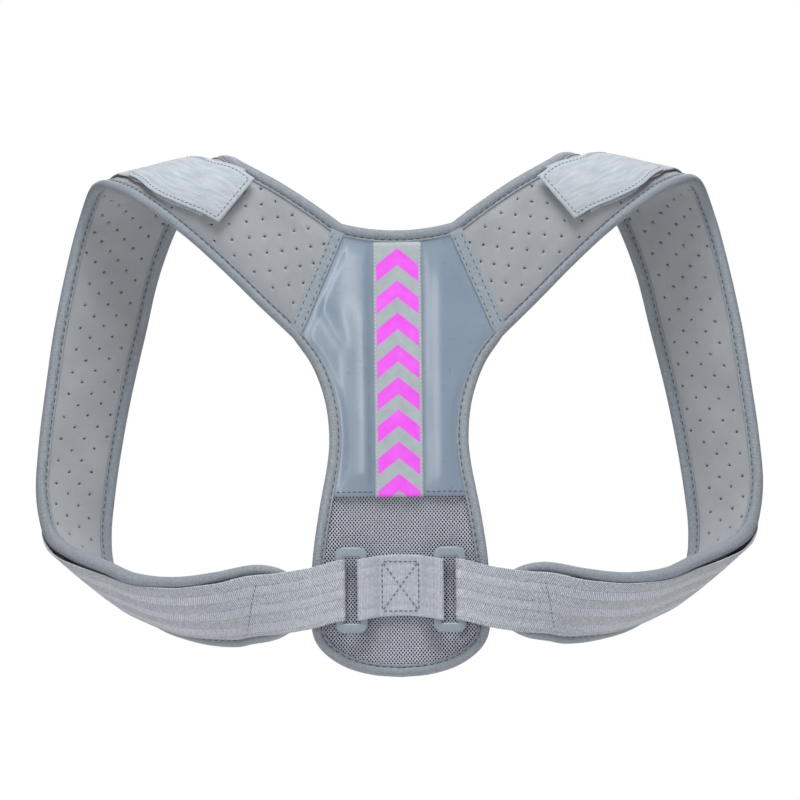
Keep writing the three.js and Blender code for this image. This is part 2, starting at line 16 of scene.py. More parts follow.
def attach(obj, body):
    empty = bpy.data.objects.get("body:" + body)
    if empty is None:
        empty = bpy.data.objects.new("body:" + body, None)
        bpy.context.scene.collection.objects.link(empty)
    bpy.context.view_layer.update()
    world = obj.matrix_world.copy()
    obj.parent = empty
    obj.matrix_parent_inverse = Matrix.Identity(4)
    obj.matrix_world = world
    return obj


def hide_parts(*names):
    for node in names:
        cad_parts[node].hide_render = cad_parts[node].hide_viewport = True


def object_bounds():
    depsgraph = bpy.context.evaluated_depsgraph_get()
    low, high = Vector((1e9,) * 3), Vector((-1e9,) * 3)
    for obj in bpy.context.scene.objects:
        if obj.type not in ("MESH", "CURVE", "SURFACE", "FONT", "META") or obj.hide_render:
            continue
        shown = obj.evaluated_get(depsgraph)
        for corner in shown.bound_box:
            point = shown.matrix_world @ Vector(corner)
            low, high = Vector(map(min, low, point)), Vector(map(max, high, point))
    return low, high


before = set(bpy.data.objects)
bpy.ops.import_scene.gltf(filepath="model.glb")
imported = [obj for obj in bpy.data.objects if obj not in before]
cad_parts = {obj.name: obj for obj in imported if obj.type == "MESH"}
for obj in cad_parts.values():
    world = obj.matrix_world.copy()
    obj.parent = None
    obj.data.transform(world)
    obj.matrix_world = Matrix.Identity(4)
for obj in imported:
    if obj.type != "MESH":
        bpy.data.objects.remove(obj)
cad_low, cad_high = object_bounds()
print("nodes:", sorted(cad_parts))
print("box of the construction model, in metres:", list(cad_low), list(cad_high))

# %% [markdown]
# ## Camera
# The photograph looks straight at the back of the corrector, with hardly any perspective. A long lens
# far away gives the same flat view. An orthographic camera would do nearly as well, but it would hide
# the little perspective that there is. The object stood a little askew in the picture, so the camera
# is rolled by as much and the object itself stays upright.

# %% Camera
VIEW_WIDTH = 0.496  # metres that the picture spans at the object
VIEW_CENTRE = Vector((0.0009, 0.0, -0.1398))
CAMERA_AWAY = 12.0
ROLL = math.radians(0.6)
SENSOR = 36.0  # millimetres

camera_data = bpy.data.cameras.new("camera")
camera_data.sensor_width = SENSOR
camera_data.lens = SENSOR * CAMERA_AWAY / VIEW_WIDTH
camera_data.clip_end = 60
camera = bpy.data.objects.new("camera", camera_data)
camera.location = VIEW_CENTRE + Vector((0, -CAMERA_AWAY, 0))
camera.rotation_euler = (math.pi / 2, ROLL, 0)
bpy.context.collection.objects.link(camera)
bpy.context.scene.camera = camera
print("lens:", round(camera_data.lens), "mm")

# %% [markdown]
# ## The curve of the back
# Every piece of the back panel lies on one gently bowed surface. A small function gives a point of it,
# lifted by a height along the outward normal, so layers can be stacked without touching. Shrinkwrap
# modifiers could lay flat pieces on a surface too, but they don't keep each layer at an exact height.

# %% Small helpers for places
REACH, ARM_DROP, LOOP_DEPTH, BACK_BOW = 227.0, 306.0, 105.0, 30.0
SHOULDER_FRONT, SHOULDER_DOWN = 47.0, 14.0
METRE = 0.001


def mix(a, b, share):
    """From a to b, by a share of the way."""
    return a + (b - a) * share


def ease(x, low, high):
    """0 up to low, 1 from high on, and a smooth change between."""
    share = np.clip((x - low) / (high - low), 0, 1)
    return share * share * (3 - 2 * share)


def unit(vectors):
    return vectors / np.linalg.norm(vectors, axis=-1, keepdims=True)


def stack(*parts):
    """Vectors from their separate parts, each a number or an array."""
    return np.stack(np.broadcast_arrays(*parts), axis=-1).astype(float)


def in_metres(points):
    """From the sheet of sizes, in millimetres, to the object's own frame."""
    return (np.asarray(points) + (0, -SHOULDER_FRONT, SHOULDER_DOWN)) * METRE


def back_front(x):
    """How far the back bows forward at a place across."""
    return BACK_BOW * (x / REACH) ** 2


def on_back(x, down, height):
    """A point over the back, at a height along its outward direction."""
    outward = unit(stack(2 * BACK_BOW * x / REACH**2, -1, 0))
    return stack(x, back_front(x), -down) + outward * np.asarray(height)[..., None]


print("bow of the back at the outermost point:", back_front(REACH), "mm")

# %% [markdown]
# ## The band round the arm
# A band is a ruled surface between two edge curves, one on the outer side and one towards the neck.
# Two NURBS curves and a lofted surface would give it as well, but a function can be asked for any
# point, which all the layers on the band need. The rows below are the places where the real band was
# measured, as shares of the overall sizes. A centripetal curve through them doesn't overshoot where
# the rows lie close together.

# %% Sizes of the panel, the band and the layers
# All in millimetres. PAD to BINDING, WEB and TAB are thicknesses, and GAP is the room between layers.
# CROWN says how far a band bulges between its edges, and STAND_OFF how far a strap stands off it.
NECK_DOWN = 49.0
SEAM_TOP = np.array([34.0, 44.5])
SEAM_FOOT = np.array([64.5, 115.0])
LOBE_HALF, LOBE_BELOW_RING, LEATHER_DROP, RIBBON_WIDTH = 55.0, 54.0, 164.0, 30.0
PAD, MESH, TAPE, BINDING, BINDING_WIDTH = 4.0, 2.6, 0.8, 0.9, 7.5
WEB, WEB_WIDTH, TAB, TAB_WIDTH, SEAM_TAPE_WIDTH = 1.2, 38.0, 1.0, 36.0, 8.7
GAP, CROWN, STAND_OFF = 0.4, 2.0, 3.0
RING_OUT, RING_RISE, RING_BAR, RING_END, RING_THICK, RING_GAP = 30.0, 35.0, 5.0, 6.0, 3.5, 10.0
RING_SLOT_SPARE, SEWN_HALF, WEB_ARCH = 3.0, 11.5, 3.0

ring_down = ARM_DROP - RING_RISE
lobe_down = ring_down + LOBE_BELOW_RING
panel_drop = lobe_down - NECK_DOWN
hem_down = NECK_DOWN + LEATHER_DROP
web_turn = RING_THICK / 2 + GAP + WEB / 2
bar_offset = (RING_GAP + RING_BAR) / 2
web_base = PAD + 2 * GAP + BINDING + WEB / 2
ring_height = web_base + web_turn
edge_inset = BINDING + GAP
print("bottom of the lobe lies", lobe_down, "mm below the highest edge")

# %% The band's rows
# Each row: out, down and front of the lateral edge, then the same of the medial edge.
BAND_ROWS = [
    (0.374, 0.311, 0.0, 0.224, 0.105, 0.0),
    (0.473, 0.237, 0.01, 0.309, 0.064, 0.02),
    (0.557, 0.179, 0.03, 0.374, 0.038, 0.05),
    (0.642, 0.13, 0.08, 0.413, 0.026, 0.11),
    (0.721, 0.094, 0.18, 0.434, 0.021, 0.2),
    (0.779, 0.076, 0.34, 0.454, 0.02, 0.33),
    (0.817, 0.071, 0.53, 0.473, 0.025, 0.48),
    (0.842, 0.084, 0.72, 0.508, 0.048, 0.68),
    (0.863, 0.119, 0.85, 0.557, 0.094, 0.84),
    (0.885, 0.168, 0.92, 0.609, 0.16, 0.93),
    (0.913, 0.252, 0.95, 0.656, 0.252, 0.98),
    (0.942, 0.357, 0.95, 0.691, 0.359, 1.0),
    (0.967, 0.479, 0.95, 0.732, 0.485, 1.0),
    (0.987, 0.592, 0.94, 0.762, 0.598, 1.0),
    (0.994, 0.677, 0.9, 0.781, 0.692, 0.98),
    (0.981, 0.733, 0.8, 0.79, 0.77, 0.93),
    (0.956, 0.767, 0.66, 0.783, 0.829, 0.84),
    (0.918, 0.787, 0.5, 0.756, 0.878, 0.73),
    (0.866, 0.805, 0.34, 0.712, 0.914, 0.62),
    (0.805, 0.822, 0.2, 0.656, 0.945, 0.51),
    (0.725, 0.846, 0.08, 0.588, 0.97, 0.4),
    (0.615, 0.854, 0.02, 0.508, 0.986, 0.31),
    (0.505, 0.845, 0.0, 0.437, 0.992, 0.23),
    (0.41, 0.832, 0.0, 0.383, 0.988, 0.14),
    (0.268, 0.827, 0.0, 0.262, 0.984, 0.03),
]
TIP_END = len(BAND_ROWS)
TIP_START, RING_ROW = TIP_END - 1, TIP_END + 1
TIP_SQUARENESS, TIP_LAST = 2.4, 0.94


# %% Curves through the rows
def curve_through(points):
    """A smooth curve through points, as a function of a share from 0 to 1. Points may be whole rows."""
    points = np.asarray(points, float)
    padded = np.concatenate([[2 * points[0] - points[1]], points, [2 * points[-1] - points[-2]]])

    def at(share):
        place = np.clip(np.asarray(share, float), 0, 1) * (len(points) - 1)
        i = np.minimum(place.astype(int), len(points) - 2)
        w = (place - i).reshape(i.shape + (1,) * (points.ndim - 1))
        p = [padded[i + k] for k in range(4)]
        d = [np.sqrt(np.linalg.norm(b - a, axis=-1, keepdims=True)) for a, b in zip(p, p[1:])]
        d = [np.maximum(step, 1e-4) for step in d]
        start = ((p[1] - p[0]) / d[0] - (p[2] - p[0]) / (d[0] + d[1]) + (p[2] - p[1]) / d[1]) * d[1]
        end = ((p[2] - p[1]) / d[1] - (p[3] - p[1]) / (d[1] + d[2]) + (p[3] - p[2]) / d[2]) * d[1]
        square = -3 * p[1] + 3 * p[2] - 2 * start - end
        cube = 2 * p[1] - 2 * p[2] + start + end
        return p[1] + w * (start + w * (square + w * cube))

    return at


def band_edge(first, seam, ring_side):
    """One edge of the band, from the seam's end through the rows to the ring."""
    rows = [(seam[0], back_front(seam[0]), -seam[1])]
    for row in BAND_ROWS:
        out, down, front = row[first : first + 3]
        x = out * REACH
        rows.append((x, mix(back_front(x), LOOP_DEPTH, front), -down * ARM_DROP))
    ring_x = RING_OUT + bar_offset - RING_BAR
    rows.append((ring_x, back_front(ring_x), -ring_down + ring_side * (WEB_WIDTH / 2 + RING_END)))
    return curve_through(rows)


lateral_edge = band_edge(0, SEAM_FOOT, 1)
medial_edge = band_edge(3, SEAM_TOP, -1)


# %% The band's surface
# u counts the rows from the seam, v runs from -1 at the lateral edge to 1 at the medial edge.
NUDGE = 1e-3


def ruled(u, v):
    """The straight line between both edges at a row."""
    share = np.clip(u / RING_ROW, 0, 1)
    return mix(lateral_edge(share), medial_edge(share), ((v + 1) / 2)[..., None])


def slopes(surface, u, v):
    """How a surface runs along and across, and its outward direction."""
    low = np.clip(u, NUDGE, RING_ROW - NUDGE)
    along = (surface(low + NUDGE, v) - surface(low - NUDGE, v)) / (2 * NUDGE)
    across = (surface(u, v + NUDGE) - surface(u, v - NUDGE)) / (2 * NUDGE)
    return along, across, unit(np.cross(along, across))


def band(u, v):
    """The band with its bulge between the edges."""
    crown = CROWN * ease(u, 0, 3) * (1 - ease(u, TIP_START - 1, TIP_END)) * (1 - v * v)
    return ruled(u, v) + slopes(ruled, u, v)[2] * crown[..., None]


def on_band(u, v, height):
    u, v, height = np.broadcast_arrays(np.asarray(u, float), v, height)
    return band(u, v) + slopes(band, u, v)[2] * height[..., None]


def inwards(u, v, distance):
    """Moves places on the band's outline inwards by a distance."""
    u, v, distance = np.broadcast_arrays(np.asarray(u, float), np.asarray(v, float), distance)
    along, across, _ = slopes(band, u, v)
    du = np.minimum(0, TIP_START - u)
    way = along * du[..., None] - across * v[..., None]
    length = np.linalg.norm(way, axis=-1)
    crossed = np.linalg.norm(np.cross(way, along), axis=-1) / length / np.linalg.norm(along, axis=-1)
    share = distance / np.where(u <= TIP_START, crossed, 1.0) / length
    return u + du * share, v - v * share


def mirrored(points, side):
    """Points for the right band as they are (side 1), or for the left one (side -1)."""
    return points * (side, 1, 1)


print("outermost point of the band:", np.round(band(np.array([15.0]), np.array([-1.0])), 1))


# %% Even steps along a path
def running_length(points):
    """Distance along a line of points, at each of them."""
    steps = np.linalg.norm(np.diff(points, axis=0), axis=-1)
    return np.concatenate([[0], np.cumsum(steps)])


def even_shares(path, spacing, fineness=1500):
    """Shares of a path function at even distances along it, and those distances."""
    shares = np.linspace(0, 1, fineness)
    length = running_length(path(shares))
    count = max(int(round(length[-1] / spacing)), 2)
    distances = np.linspace(0, length[-1], count + 1)
    return np.interp(distances, length, shares), distances


TIP_SHARE = 0.9  # share of an edge's parameter that lies before the rounded tip
PAD_STEP = 2.6


def outline(share):
    """The band's outline: the row and how much of the half width it takes there."""
    turn = np.clip((share - TIP_SHARE) / (1 - TIP_SHARE), 0, 1) * TIP_LAST * math.pi / 2
    power = 2 / TIP_SQUARENESS
    u = np.where(share < TIP_SHARE, TIP_START * share / TIP_SHARE, TIP_START + np.sin(turn) ** power)
    return u, np.cos(turn) ** power


pad_shares, pad_distances = even_shares(lambda s: on_band(outline(s)[0], 0 * s, 0), PAD_STEP)
print("an arm band is", round(pad_distances[-1]), "mm long along its middle")

# %% [markdown]
# ## Turning rows of points into a mesh
# Nearly every piece here is a strip: a flat grid whose rows of vertices are moved onto sections worked
# out from the surfaces above. A bevelled curve could make a strip too, but its section can't change
# along the way. Starting from Blender's own grid keeps the faces and their order tidy. The UV map
# called cloth keeps millimetres across and along, so weaves stay at their real size.


# %% Meshes from sections
def bent_grid(sections):
    """A grid bent onto closed sections, with its vertices by row and column."""
    sections = in_metres(sections)
    sections = np.concatenate([sections, sections[:, :1]], axis=1)
    rows, columns = sections.shape[:2]
    bm = bmesh.new()
    bmesh.ops.create_grid(bm, x_segments=columns - 1, y_segments=rows - 1, size=0.5)
    places = {}
    for vert in bm.verts:
        places[vert] = (round((vert.co.y + 0.5) * (rows - 1)), round((vert.co.x + 0.5) * (columns - 1)))
    along = running_length(sections.mean(axis=1)) / METRE
    widest = np.linalg.norm(np.diff(sections, axis=1), axis=-1).mean(axis=0)
    across = np.concatenate([[0], np.cumsum(widest)]) / METRE
    cloth = bm.loops.layers.uv.new("cloth")
    for face in bm.faces:
        for loop in face.loops:
            i, j = places[loop.vert]
            loop[cloth].uv = (across[j], along[i])
    for vert, (i, j) in places.items():
        vert.co = sections[i, j]
    return bm, {place: vert for vert, place in places.items()}


def refined(sections, spacing):
    """Sections at even distances along a smooth run through a few sections."""
    run = curve_through(sections)
    shares, _ = even_shares(lambda s: run(s).mean(axis=1), spacing)
    return run(shares)


print("a strip's UV map counts", 1 / METRE, "units to the metre")


# %% Finished pieces
SAME_PLACE = 1e-7  # vertices nearer than this, in metres, are one


def add_piece(name, bm, materials, nodes=(), subdivide=0, closed=True):
    """Closes the mesh, makes the object, and says what it stands for."""
    if closed:
        bmesh.ops.remove_doubles(bm, verts=bm.verts, dist=SAME_PLACE)
        rims = [edge for edge in bm.edges if edge.is_boundary]
        if rims:
            caps = bmesh.ops.holes_fill(bm, edges=rims, sides=0)["faces"]
            bmesh.ops.triangulate(bm, faces=caps, ngon_method="BEAUTY")
        bmesh.ops.recalc_face_normals(bm, faces=bm.faces)
    for face in bm.faces:
        face.smooth = True
    mesh = bpy.data.meshes.new(name)
    bm.to_mesh(mesh)
    bm.free()
    piece = bpy.data.objects.new(f"{name}_finished" if nodes else name, mesh)
    bpy.context.collection.objects.link(piece)
    for material in materials:
        mesh.materials.append(material)
    if subdivide:
        modifier = piece.modifiers.new("smoothing", "SUBSURF")
        modifier.levels = modifier.render_levels = subdivide
    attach(piece, "root")
    if nodes:
        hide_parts(*nodes)
    print(name, len(mesh.polygons), "faces")
    return piece


# %% [markdown]
# ## Materials
# Each finish starts from what the real one is: what it is made of and how its surface was made. Photos
# of cloth would be quick to use, but they tile and blur, while a procedural weave keeps its real pitch
# at any distance. One helper turns hex colours to linear light, and one adds a node with its settings
# and links and gives back its first output.


# %% Helpers for materials
def colour(code):
    """An sRGB hex colour as linear RGBA."""
    values = [int(code[i : i + 2], 16) / 255 for i in (0, 2, 4)]
    linear = [v / 12.92 if v <= 0.04045 else ((v + 0.055) / 1.055) ** 2.4 for v in values]
    return (*linear, 1.0)


def add(tree, kind, inputs=None, **settings):
    """A node with its settings, and with values or links on its inputs."""
    node = tree.nodes.new(kind)
    for key, value in settings.items():
        setattr(node, key, value)
    for key, value in (inputs or {}).items():
        if isinstance(value, bpy.types.NodeSocket):
            tree.links.new(value, node.inputs[key])
        else:
            node.inputs[key].default_value = value
    return node.outputs[0] if node.outputs else None


def new_finish(name, roughness, **sockets):
    """A material with one shader. Sockets that stay the same all over are set here."""
    material = bpy.data.materials.new(name)
    material.use_nodes = True
    tree = material.node_tree
    tree.nodes.clear()
    shader = add(tree, "ShaderNodeBsdfPrincipled", {"Roughness": roughness})
    for key, value in sockets.items():
        shader.node.inputs[key.replace("_", " ")].default_value = value
    add(tree, "ShaderNodeOutputMaterial", {"Surface": shader})
    return material, tree, shader.node


def surface(tree, shader, base=None, height=None, distance=0.0001, roughness=None):
    """Joins a colour, a relief in metres and a roughness to the shader."""
    if base is not None:
        tree.links.new(base, shader.inputs["Base Color"])
    if roughness is not None:
        tree.links.new(roughness, shader.inputs["Roughness"])
    if height is not None:
        bump = add(tree, "ShaderNodeBump", {"Height": height, "Distance": distance})
        tree.links.new(bump, shader.inputs["Normal"])


# %% [markdown]
# Cloths share a few patterns. Unevenness is random and fixed in space, while ribs follow the cloth:
# they are waves of its own millimetres, which the UV map holds.


# %% Patterns that several finishes share
def unevenness(tree, size, detail=3.0):
    """Random values that change over a size in metres."""
    place = add(tree, "ShaderNodeTexCoord").node.outputs["Object"]
    return add(tree, "ShaderNodeTexNoise", {"Vector": place, "Scale": 1 / size, "Detail": detail})


def blotches(tree, size, low, high, detail=2.0):
    """Soft colour changes of a size in metres, between two hex colours."""
    value = unevenness(tree, size, detail)
    return add(
        tree, "ShaderNodeMix", {"Factor": value, 6: colour(low), 7: colour(high)}, data_type="RGBA"
    ).node.outputs[2]


def cloth_place(tree, uv_map="cloth"):
    """Millimetres across a cloth and along it."""
    cloth = add(tree, "ShaderNodeUVMap", uv_map=uv_map)
    parts = add(tree, "ShaderNodeSeparateXYZ", {"Vector": cloth}).node.outputs
    return parts["X"], parts["Y"]


def ribs_along(tree, distance, pitch):
    """Rounded ribs, one for each pitch in millimetres, from -1 to 1."""
    turns = add(tree, "ShaderNodeMath", {0: distance, 1: 2 * math.pi / pitch}, operation="MULTIPLY")
    return add(tree, "ShaderNodeMath", {0: turns}, operation="SINE")


# %% [markdown]
# ### Leatherette
# Polyurethane-coated cloth with a fine embossed grain. The coat is smooth enough to give long soft
# highlights down its folds, and the grain, about 0.7 mm, only breaks their edges up. A clear coat over
# a rougher base gives both, where one roughness alone would look like plain plastic.


# %% Leatherette
def make_leatherette():
    material, tree, shader = new_finish(
        "leatherette_pu_coated", 0.3, Coat_Weight=0.4, Coat_Roughness=0.2
    )
    place = add(tree, "ShaderNodeTexCoord").node.outputs["Object"]
    grain = add(tree, "ShaderNodeTexVoronoi", {"Vector": place, "Scale": 1 / 0.0007}, feature="F1")
    wear = unevenness(tree, 0.012)
    rough = add(tree, "ShaderNodeMapRange", {"Value": wear, "To Min": 0.24, "To Max": 0.34})
    surface(tree, shader, blotches(tree, 0.03, "7F8FA1", "92A2B3"), grain, 0.00003, rough)
    return material


leatherette = make_leatherette()
print(leatherette.name)

# %% [markdown]
# ### Pad fabric
# A brushed jersey laminated on foam, matt and almost without pattern. Its nap gives a slight sheen at
# grazing angles. The bottom of each punched hole is painted near black: painted shade for the depth of
# the hole, laid on the foam there.


# %% Pad fabric, and the hole floors painted near black as shade
def make_pad_fabric():
    material, tree, shader = new_finish(
        "pad_jersey_on_foam", 0.92, Sheen_Weight=0.12, Sheen_Roughness=0.5
    )
    nap = unevenness(tree, 0.0009)
    surface(tree, shader, blotches(tree, 0.02, "93979C", "ADB1B5", 4.0), nap, 0.00012)
    return material


# Near black all over: painted shade for the depth of each punched hole, not a colour of the foam.
def make_hole_floor_shade():
    material, tree, shader = new_finish("hole_floor_painted_shade", 1.0)
    surface(tree, shader, blotches(tree, 0.0006, "26282A", "3A3D40"))
    return material


pad_fabric = make_pad_fabric()
# foam holds the near-black hole floors, which are painted shade.
foam = make_hole_floor_shade()
print(pad_fabric.name, foam.name)

# %% [markdown]
# ### Binding tape
# A soft woven tape folded over the raw edges. Its weft gives fine ribs across the tape, about 0.9 mm
# apart as drawn here, a little coarser than the real ones so that they show. The filaments shine,
# which a little sheen gives. Ribs on the UV map follow the tape round every corner.


# %% Binding tape
def make_binding_tape():
    material, tree, shader = new_finish(
        "binding_tape_woven", 0.5, Sheen_Weight=0.1, Sheen_Roughness=0.4
    )
    ribs = ribs_along(tree, cloth_place(tree)[1], 0.9)
    fuzz = unevenness(tree, 0.0007, 2.0)
    relief = add(tree, "ShaderNodeMath", {0: ribs, 1: 0.5, 2: fuzz}, operation="MULTIPLY_ADD")
    surface(tree, shader, blotches(tree, 0.0014, "7E8791", "B4BCC4", 3.0), relief, 0.0003)
    return material


binding_tape = make_binding_tape()
print(binding_tape.name)

# %% [markdown]
# ### Webbing
# Polyester webbing in a herringbone: six lengthwise bands whose ribs lean to one side and the other.
# The bands catch the light differently, so they read as stripes of grey and lilac, and that light is
# painted into the colour. Each band's number is odd or even, and that turns the ribs' slant and shifts
# the colour lighter or darker: painted light and shade. The ribs too are painted lighter than their
# hollows, and dots of painted shade mark the grooves between bands. Ribs are drawn 1.3 mm apart,
# coarser than real ones. The webbing between the rings has straight ribs and no stripes, and the same
# function makes it.


# %% Webbing
WEB_BANDS = 6
# The dark dots are painted shade in the grooves between bands.
BAND_MIDDLE = 0.455  # a band's half width without the dark dots at its edge, as a share of the band


def make_webbing(name, pitch, lean, rib_shading, band_shading, low, high):
    """lean slants the ribs. The next two arguments set how far ribs and bands shift the colour: painted
    light and shade.
    """
    material, tree, shader = new_finish(name, 0.6, Sheen_Weight=0.15, Sheen_Roughness=0.35)
    across, along = cloth_place(tree)
    bands = add(tree, "ShaderNodeMath", {0: across, 1: WEB_BANDS / WEB_WIDTH}, operation="MULTIPLY")
    number = add(tree, "ShaderNodeMath", {0: bands}, operation="FLOOR")
    odd = add(tree, "ShaderNodeMath", {0: number, 1: 2.0}, operation="FLOORED_MODULO")
    side = add(tree, "ShaderNodeMath", {0: odd, 1: 2 * lean, 2: -lean}, operation="MULTIPLY_ADD")
    slant = add(tree, "ShaderNodeMath", {0: side, 1: across, 2: along}, operation="MULTIPLY_ADD")
    ribs = ribs_along(tree, slant, pitch)
    fuzz = unevenness(tree, 0.0016)
    # Rib crests lighter and hollows darker: painted light and shade, plus random fuzz in the tone.
    rib_shading_and_fuzz = add(tree, "ShaderNodeMath", {0: ribs, 1: rib_shading, 2: fuzz}, operation="MULTIPLY_ADD")
    # Every other band lighter or darker: painted light of the band's slant.
    band_and_rib_shading = add(tree, "ShaderNodeMath", {0: odd, 1: band_shading, 2: rib_shading_and_fuzz}, operation="MULTIPLY_ADD")
    in_band = add(tree, "ShaderNodeMath", {0: bands}, operation="FRACT")
    centred = add(tree, "ShaderNodeMath", {0: in_band, 1: 0.5}, operation="SUBTRACT")
    from_middle = add(tree, "ShaderNodeMath", {0: centred}, operation="ABSOLUTE")
    between = add(tree, "ShaderNodeMath", {0: from_middle, 1: BAND_MIDDLE}, operation="GREATER_THAN")
    on_rib = add(tree, "ShaderNodeMath", {0: ribs, 1: 0.1}, operation="GREATER_THAN")
    # Dark dots on the ribs in each band's groove: painted shade.
    dots = add(tree, "ShaderNodeMath", {0: between, 1: on_rib}, operation="MULTIPLY")
    shade = add(tree, "ShaderNodeMath", {0: dots, 1: -rib_shading, 2: band_and_rib_shading}, operation="MULTIPLY_ADD")
    base = add(
        tree, "ShaderNodeMix", {"Factor": shade, 6: colour(low), 7: colour(high)}, data_type="RGBA"
    ).node.outputs[2]
    surface(tree, shader, base, ribs, 0.0002)
    return material


# The pale end of each colour pair serves as painted highlight, the dark end as painted shade.
webbing = make_webbing("webbing_herringbone", 1.3, 0.45, 0.34, 0.17, "8B929E", "E3E8F0")
ribbed_webbing = make_webbing("webbing_ribbed", 1.0, 0.0, 0.14, 0.03, "A4ACBC", "E8ECF5")
print(webbing.name, ribbed_webbing.name)

# %% [markdown]
# ### Seam tape
# Grosgrain: straight ribs across a narrow tape, with a slightly hairy surface. The hairs are far too
# fine to model, so random values are mixed into the ribs' relief.


# %% Seam tape
def make_seam_tape():
    material, tree, shader = new_finish("grosgrain_seam_tape", 0.85)
    ribs = ribs_along(tree, cloth_place(tree)[1], 1.1)
    hairs = unevenness(tree, 0.0011)
    relief = add(tree, "ShaderNodeMath", {0: ribs, 1: 0.3, 2: hairs}, operation="MULTIPLY_ADD")
    surface(tree, shader, blotches(tree, 0.0018, "818D99", "ABB5BD", 3.0), relief, 0.0002)
    return material


seam_tape_finish = make_seam_tape()
print(seam_tape_finish.name)

# %% [markdown]
# ### Chevron ribbon
# A silver-grey ribbon with pink chevrons woven in. They could be flat pieces laid on the ribbon, but
# woven colour has no thickness, so they belong in the material. Their edges are straight lines in the
# ribbon's own millimetres: the distance down, less a share of the distance from the middle, repeats
# every 19.9 mm.

# %% Chevron ribbon
CHEVRON_PITCH, CHEVRON_THICK, CHEVRON_HALF = 19.9, 10.3, 13.0
CHEVRON_FIRST, CHEVRON_SLOPE = 60.0, 0.81


def make_ribbon():
    material, tree, shader = new_finish("ribbon_jacquard", 0.5, Sheen_Weight=0.1)
    x, down = cloth_place(tree, "chart")
    aside = add(tree, "ShaderNodeMath", {0: x}, operation="ABSOLUTE")
    apex = add(tree, "ShaderNodeMath", {0: aside, 1: -CHEVRON_SLOPE, 2: down}, operation="MULTIPLY_ADD")
    from_first = add(tree, "ShaderNodeMath", {0: apex, 1: CHEVRON_FIRST}, operation="SUBTRACT")
    rest = add(tree, "ShaderNodeMath", {0: from_first, 1: CHEVRON_PITCH}, operation="FLOORED_MODULO")
    in_stripe = add(tree, "ShaderNodeMath", {0: rest, 1: CHEVRON_THICK}, operation="LESS_THAN")
    in_width = add(tree, "ShaderNodeMath", {0: aside, 1: CHEVRON_HALF}, operation="LESS_THAN")
    below_first = add(tree, "ShaderNodeMath", {0: from_first, 1: 0.0}, operation="GREATER_THAN")
    inside = add(tree, "ShaderNodeMath", {0: in_stripe, 1: in_width}, operation="MULTIPLY")
    pink_here = add(tree, "ShaderNodeMath", {0: inside, 1: below_first}, operation="MULTIPLY")
    warp, weft = ribs_along(tree, x, 0.7), ribs_along(tree, down, 0.9)
    weave = add(tree, "ShaderNodeMath", {0: warp, 1: weft}, operation="MULTIPLY")
    silver = blotches(tree, 0.006, "A6B0B6", "BFC8CE")
    pink = blotches(tree, 0.008, "F93BFB", "FF78FF", 3.0)
    ground = add(tree, "ShaderNodeMix", {"Factor": pink_here, 6: silver, 7: pink}, data_type="RGBA")
    surface(tree, shader, ground.node.outputs[2], weave, 0.00006)
    return material


ribbon_finish = make_ribbon()
print(ribbon_finish.name)

# %% [markdown]
# ### Air mesh, tab fabric, plastic and thread
# The air mesh is a modelled net over a layer of spacer yarn painted near black, which is painted
# shade for the depth inside the mesh, so it needs only plain yarn finishes.
# The tab is brushed loop fabric with a fleecy nap, whose streaks are noise drawn out along the cloth.
# The rings are moulded nylon with a fine spark-eroded grain that dulls the highlight. Threads are
# twisted polyester, and the grey thread is painted darker than the real one: painted shade in its
# sunk stitch holes. All but the tab differ only in colour, grain and roughness, so one function
# makes them.


# %% Yarns, tab fabric, plastic and thread
def make_yarn(name, low, high, size, roughness, distance):
    material, tree, shader = new_finish(name, roughness)
    surface(tree, shader, blotches(tree, size * 4, low, high), unevenness(tree, size, 2.0), distance)
    return material


mesh_yarn = make_yarn("air_mesh_yarn", "B9BDCA", "D8DCE6", 0.0005, 0.7, 0.00004)
# The spacer layer stands for the spacer yarn, painted near black as shade for the depth inside the
# mesh.
spacer_sheet_shade = make_yarn("air_mesh_spacer_painted_shade", "26292F", "3C3F46", 0.0009, 0.9, 0.0002)


def make_tab_fabric():
    material, tree, shader = new_finish("tab_brushed_loop", 0.9, Sheen_Weight=0.15)
    cloth = add(tree, "ShaderNodeUVMap", uv_map="cloth")
    drawn_out = add(tree, "ShaderNodeVectorMath", {0: cloth, 1: (0.45, 0.07, 1)}, operation="MULTIPLY")
    streaks = add(tree, "ShaderNodeTexNoise", {"Vector": drawn_out, "Scale": 1.0, "Detail": 4.0})
    base = add(
        tree, "ShaderNodeMix", {"Factor": streaks, 6: colour("95A0AA"), 7: colour("D3DAE0")},
        data_type="RGBA",
    ).node.outputs[2]
    surface(tree, shader, base, unevenness(tree, 0.0011), 0.00045)
    return material


tab_fabric = make_tab_fabric()
# Darker than the real thread: painted shade for the sunk stitch holes along each seam.
shade_darkened_thread = make_yarn("thread_polyester_darkened_as_painted_shade", "4A535D", "5F6973", 0.0004, 0.6, 0.00003)
pale_thread = make_yarn("thread_pale_polyester", "C6CDD3", "E2E6EA", 0.0004, 0.6, 0.00003)
ring_plastic = make_yarn("nylon_moulded", "8A959E", "97A2AA", 0.0004, 0.42, 0.00001)
print("yarns, tab fabric, threads and nylon are ready")

# %% [markdown]
# ## Arm pads
# Each arm pad is a foam band between two faces of jersey, pressed thin where the binding is sewn on and
# puffed up between. Holes are punched through it in a square grid that lies askew on the band. Booleans
# would cut hundreds of round holes slowly and leave ragged faces on a bent shell. Here a grid vertex is
# slid to each hole's centre, bevelled to a small face, and that face is pushed in.

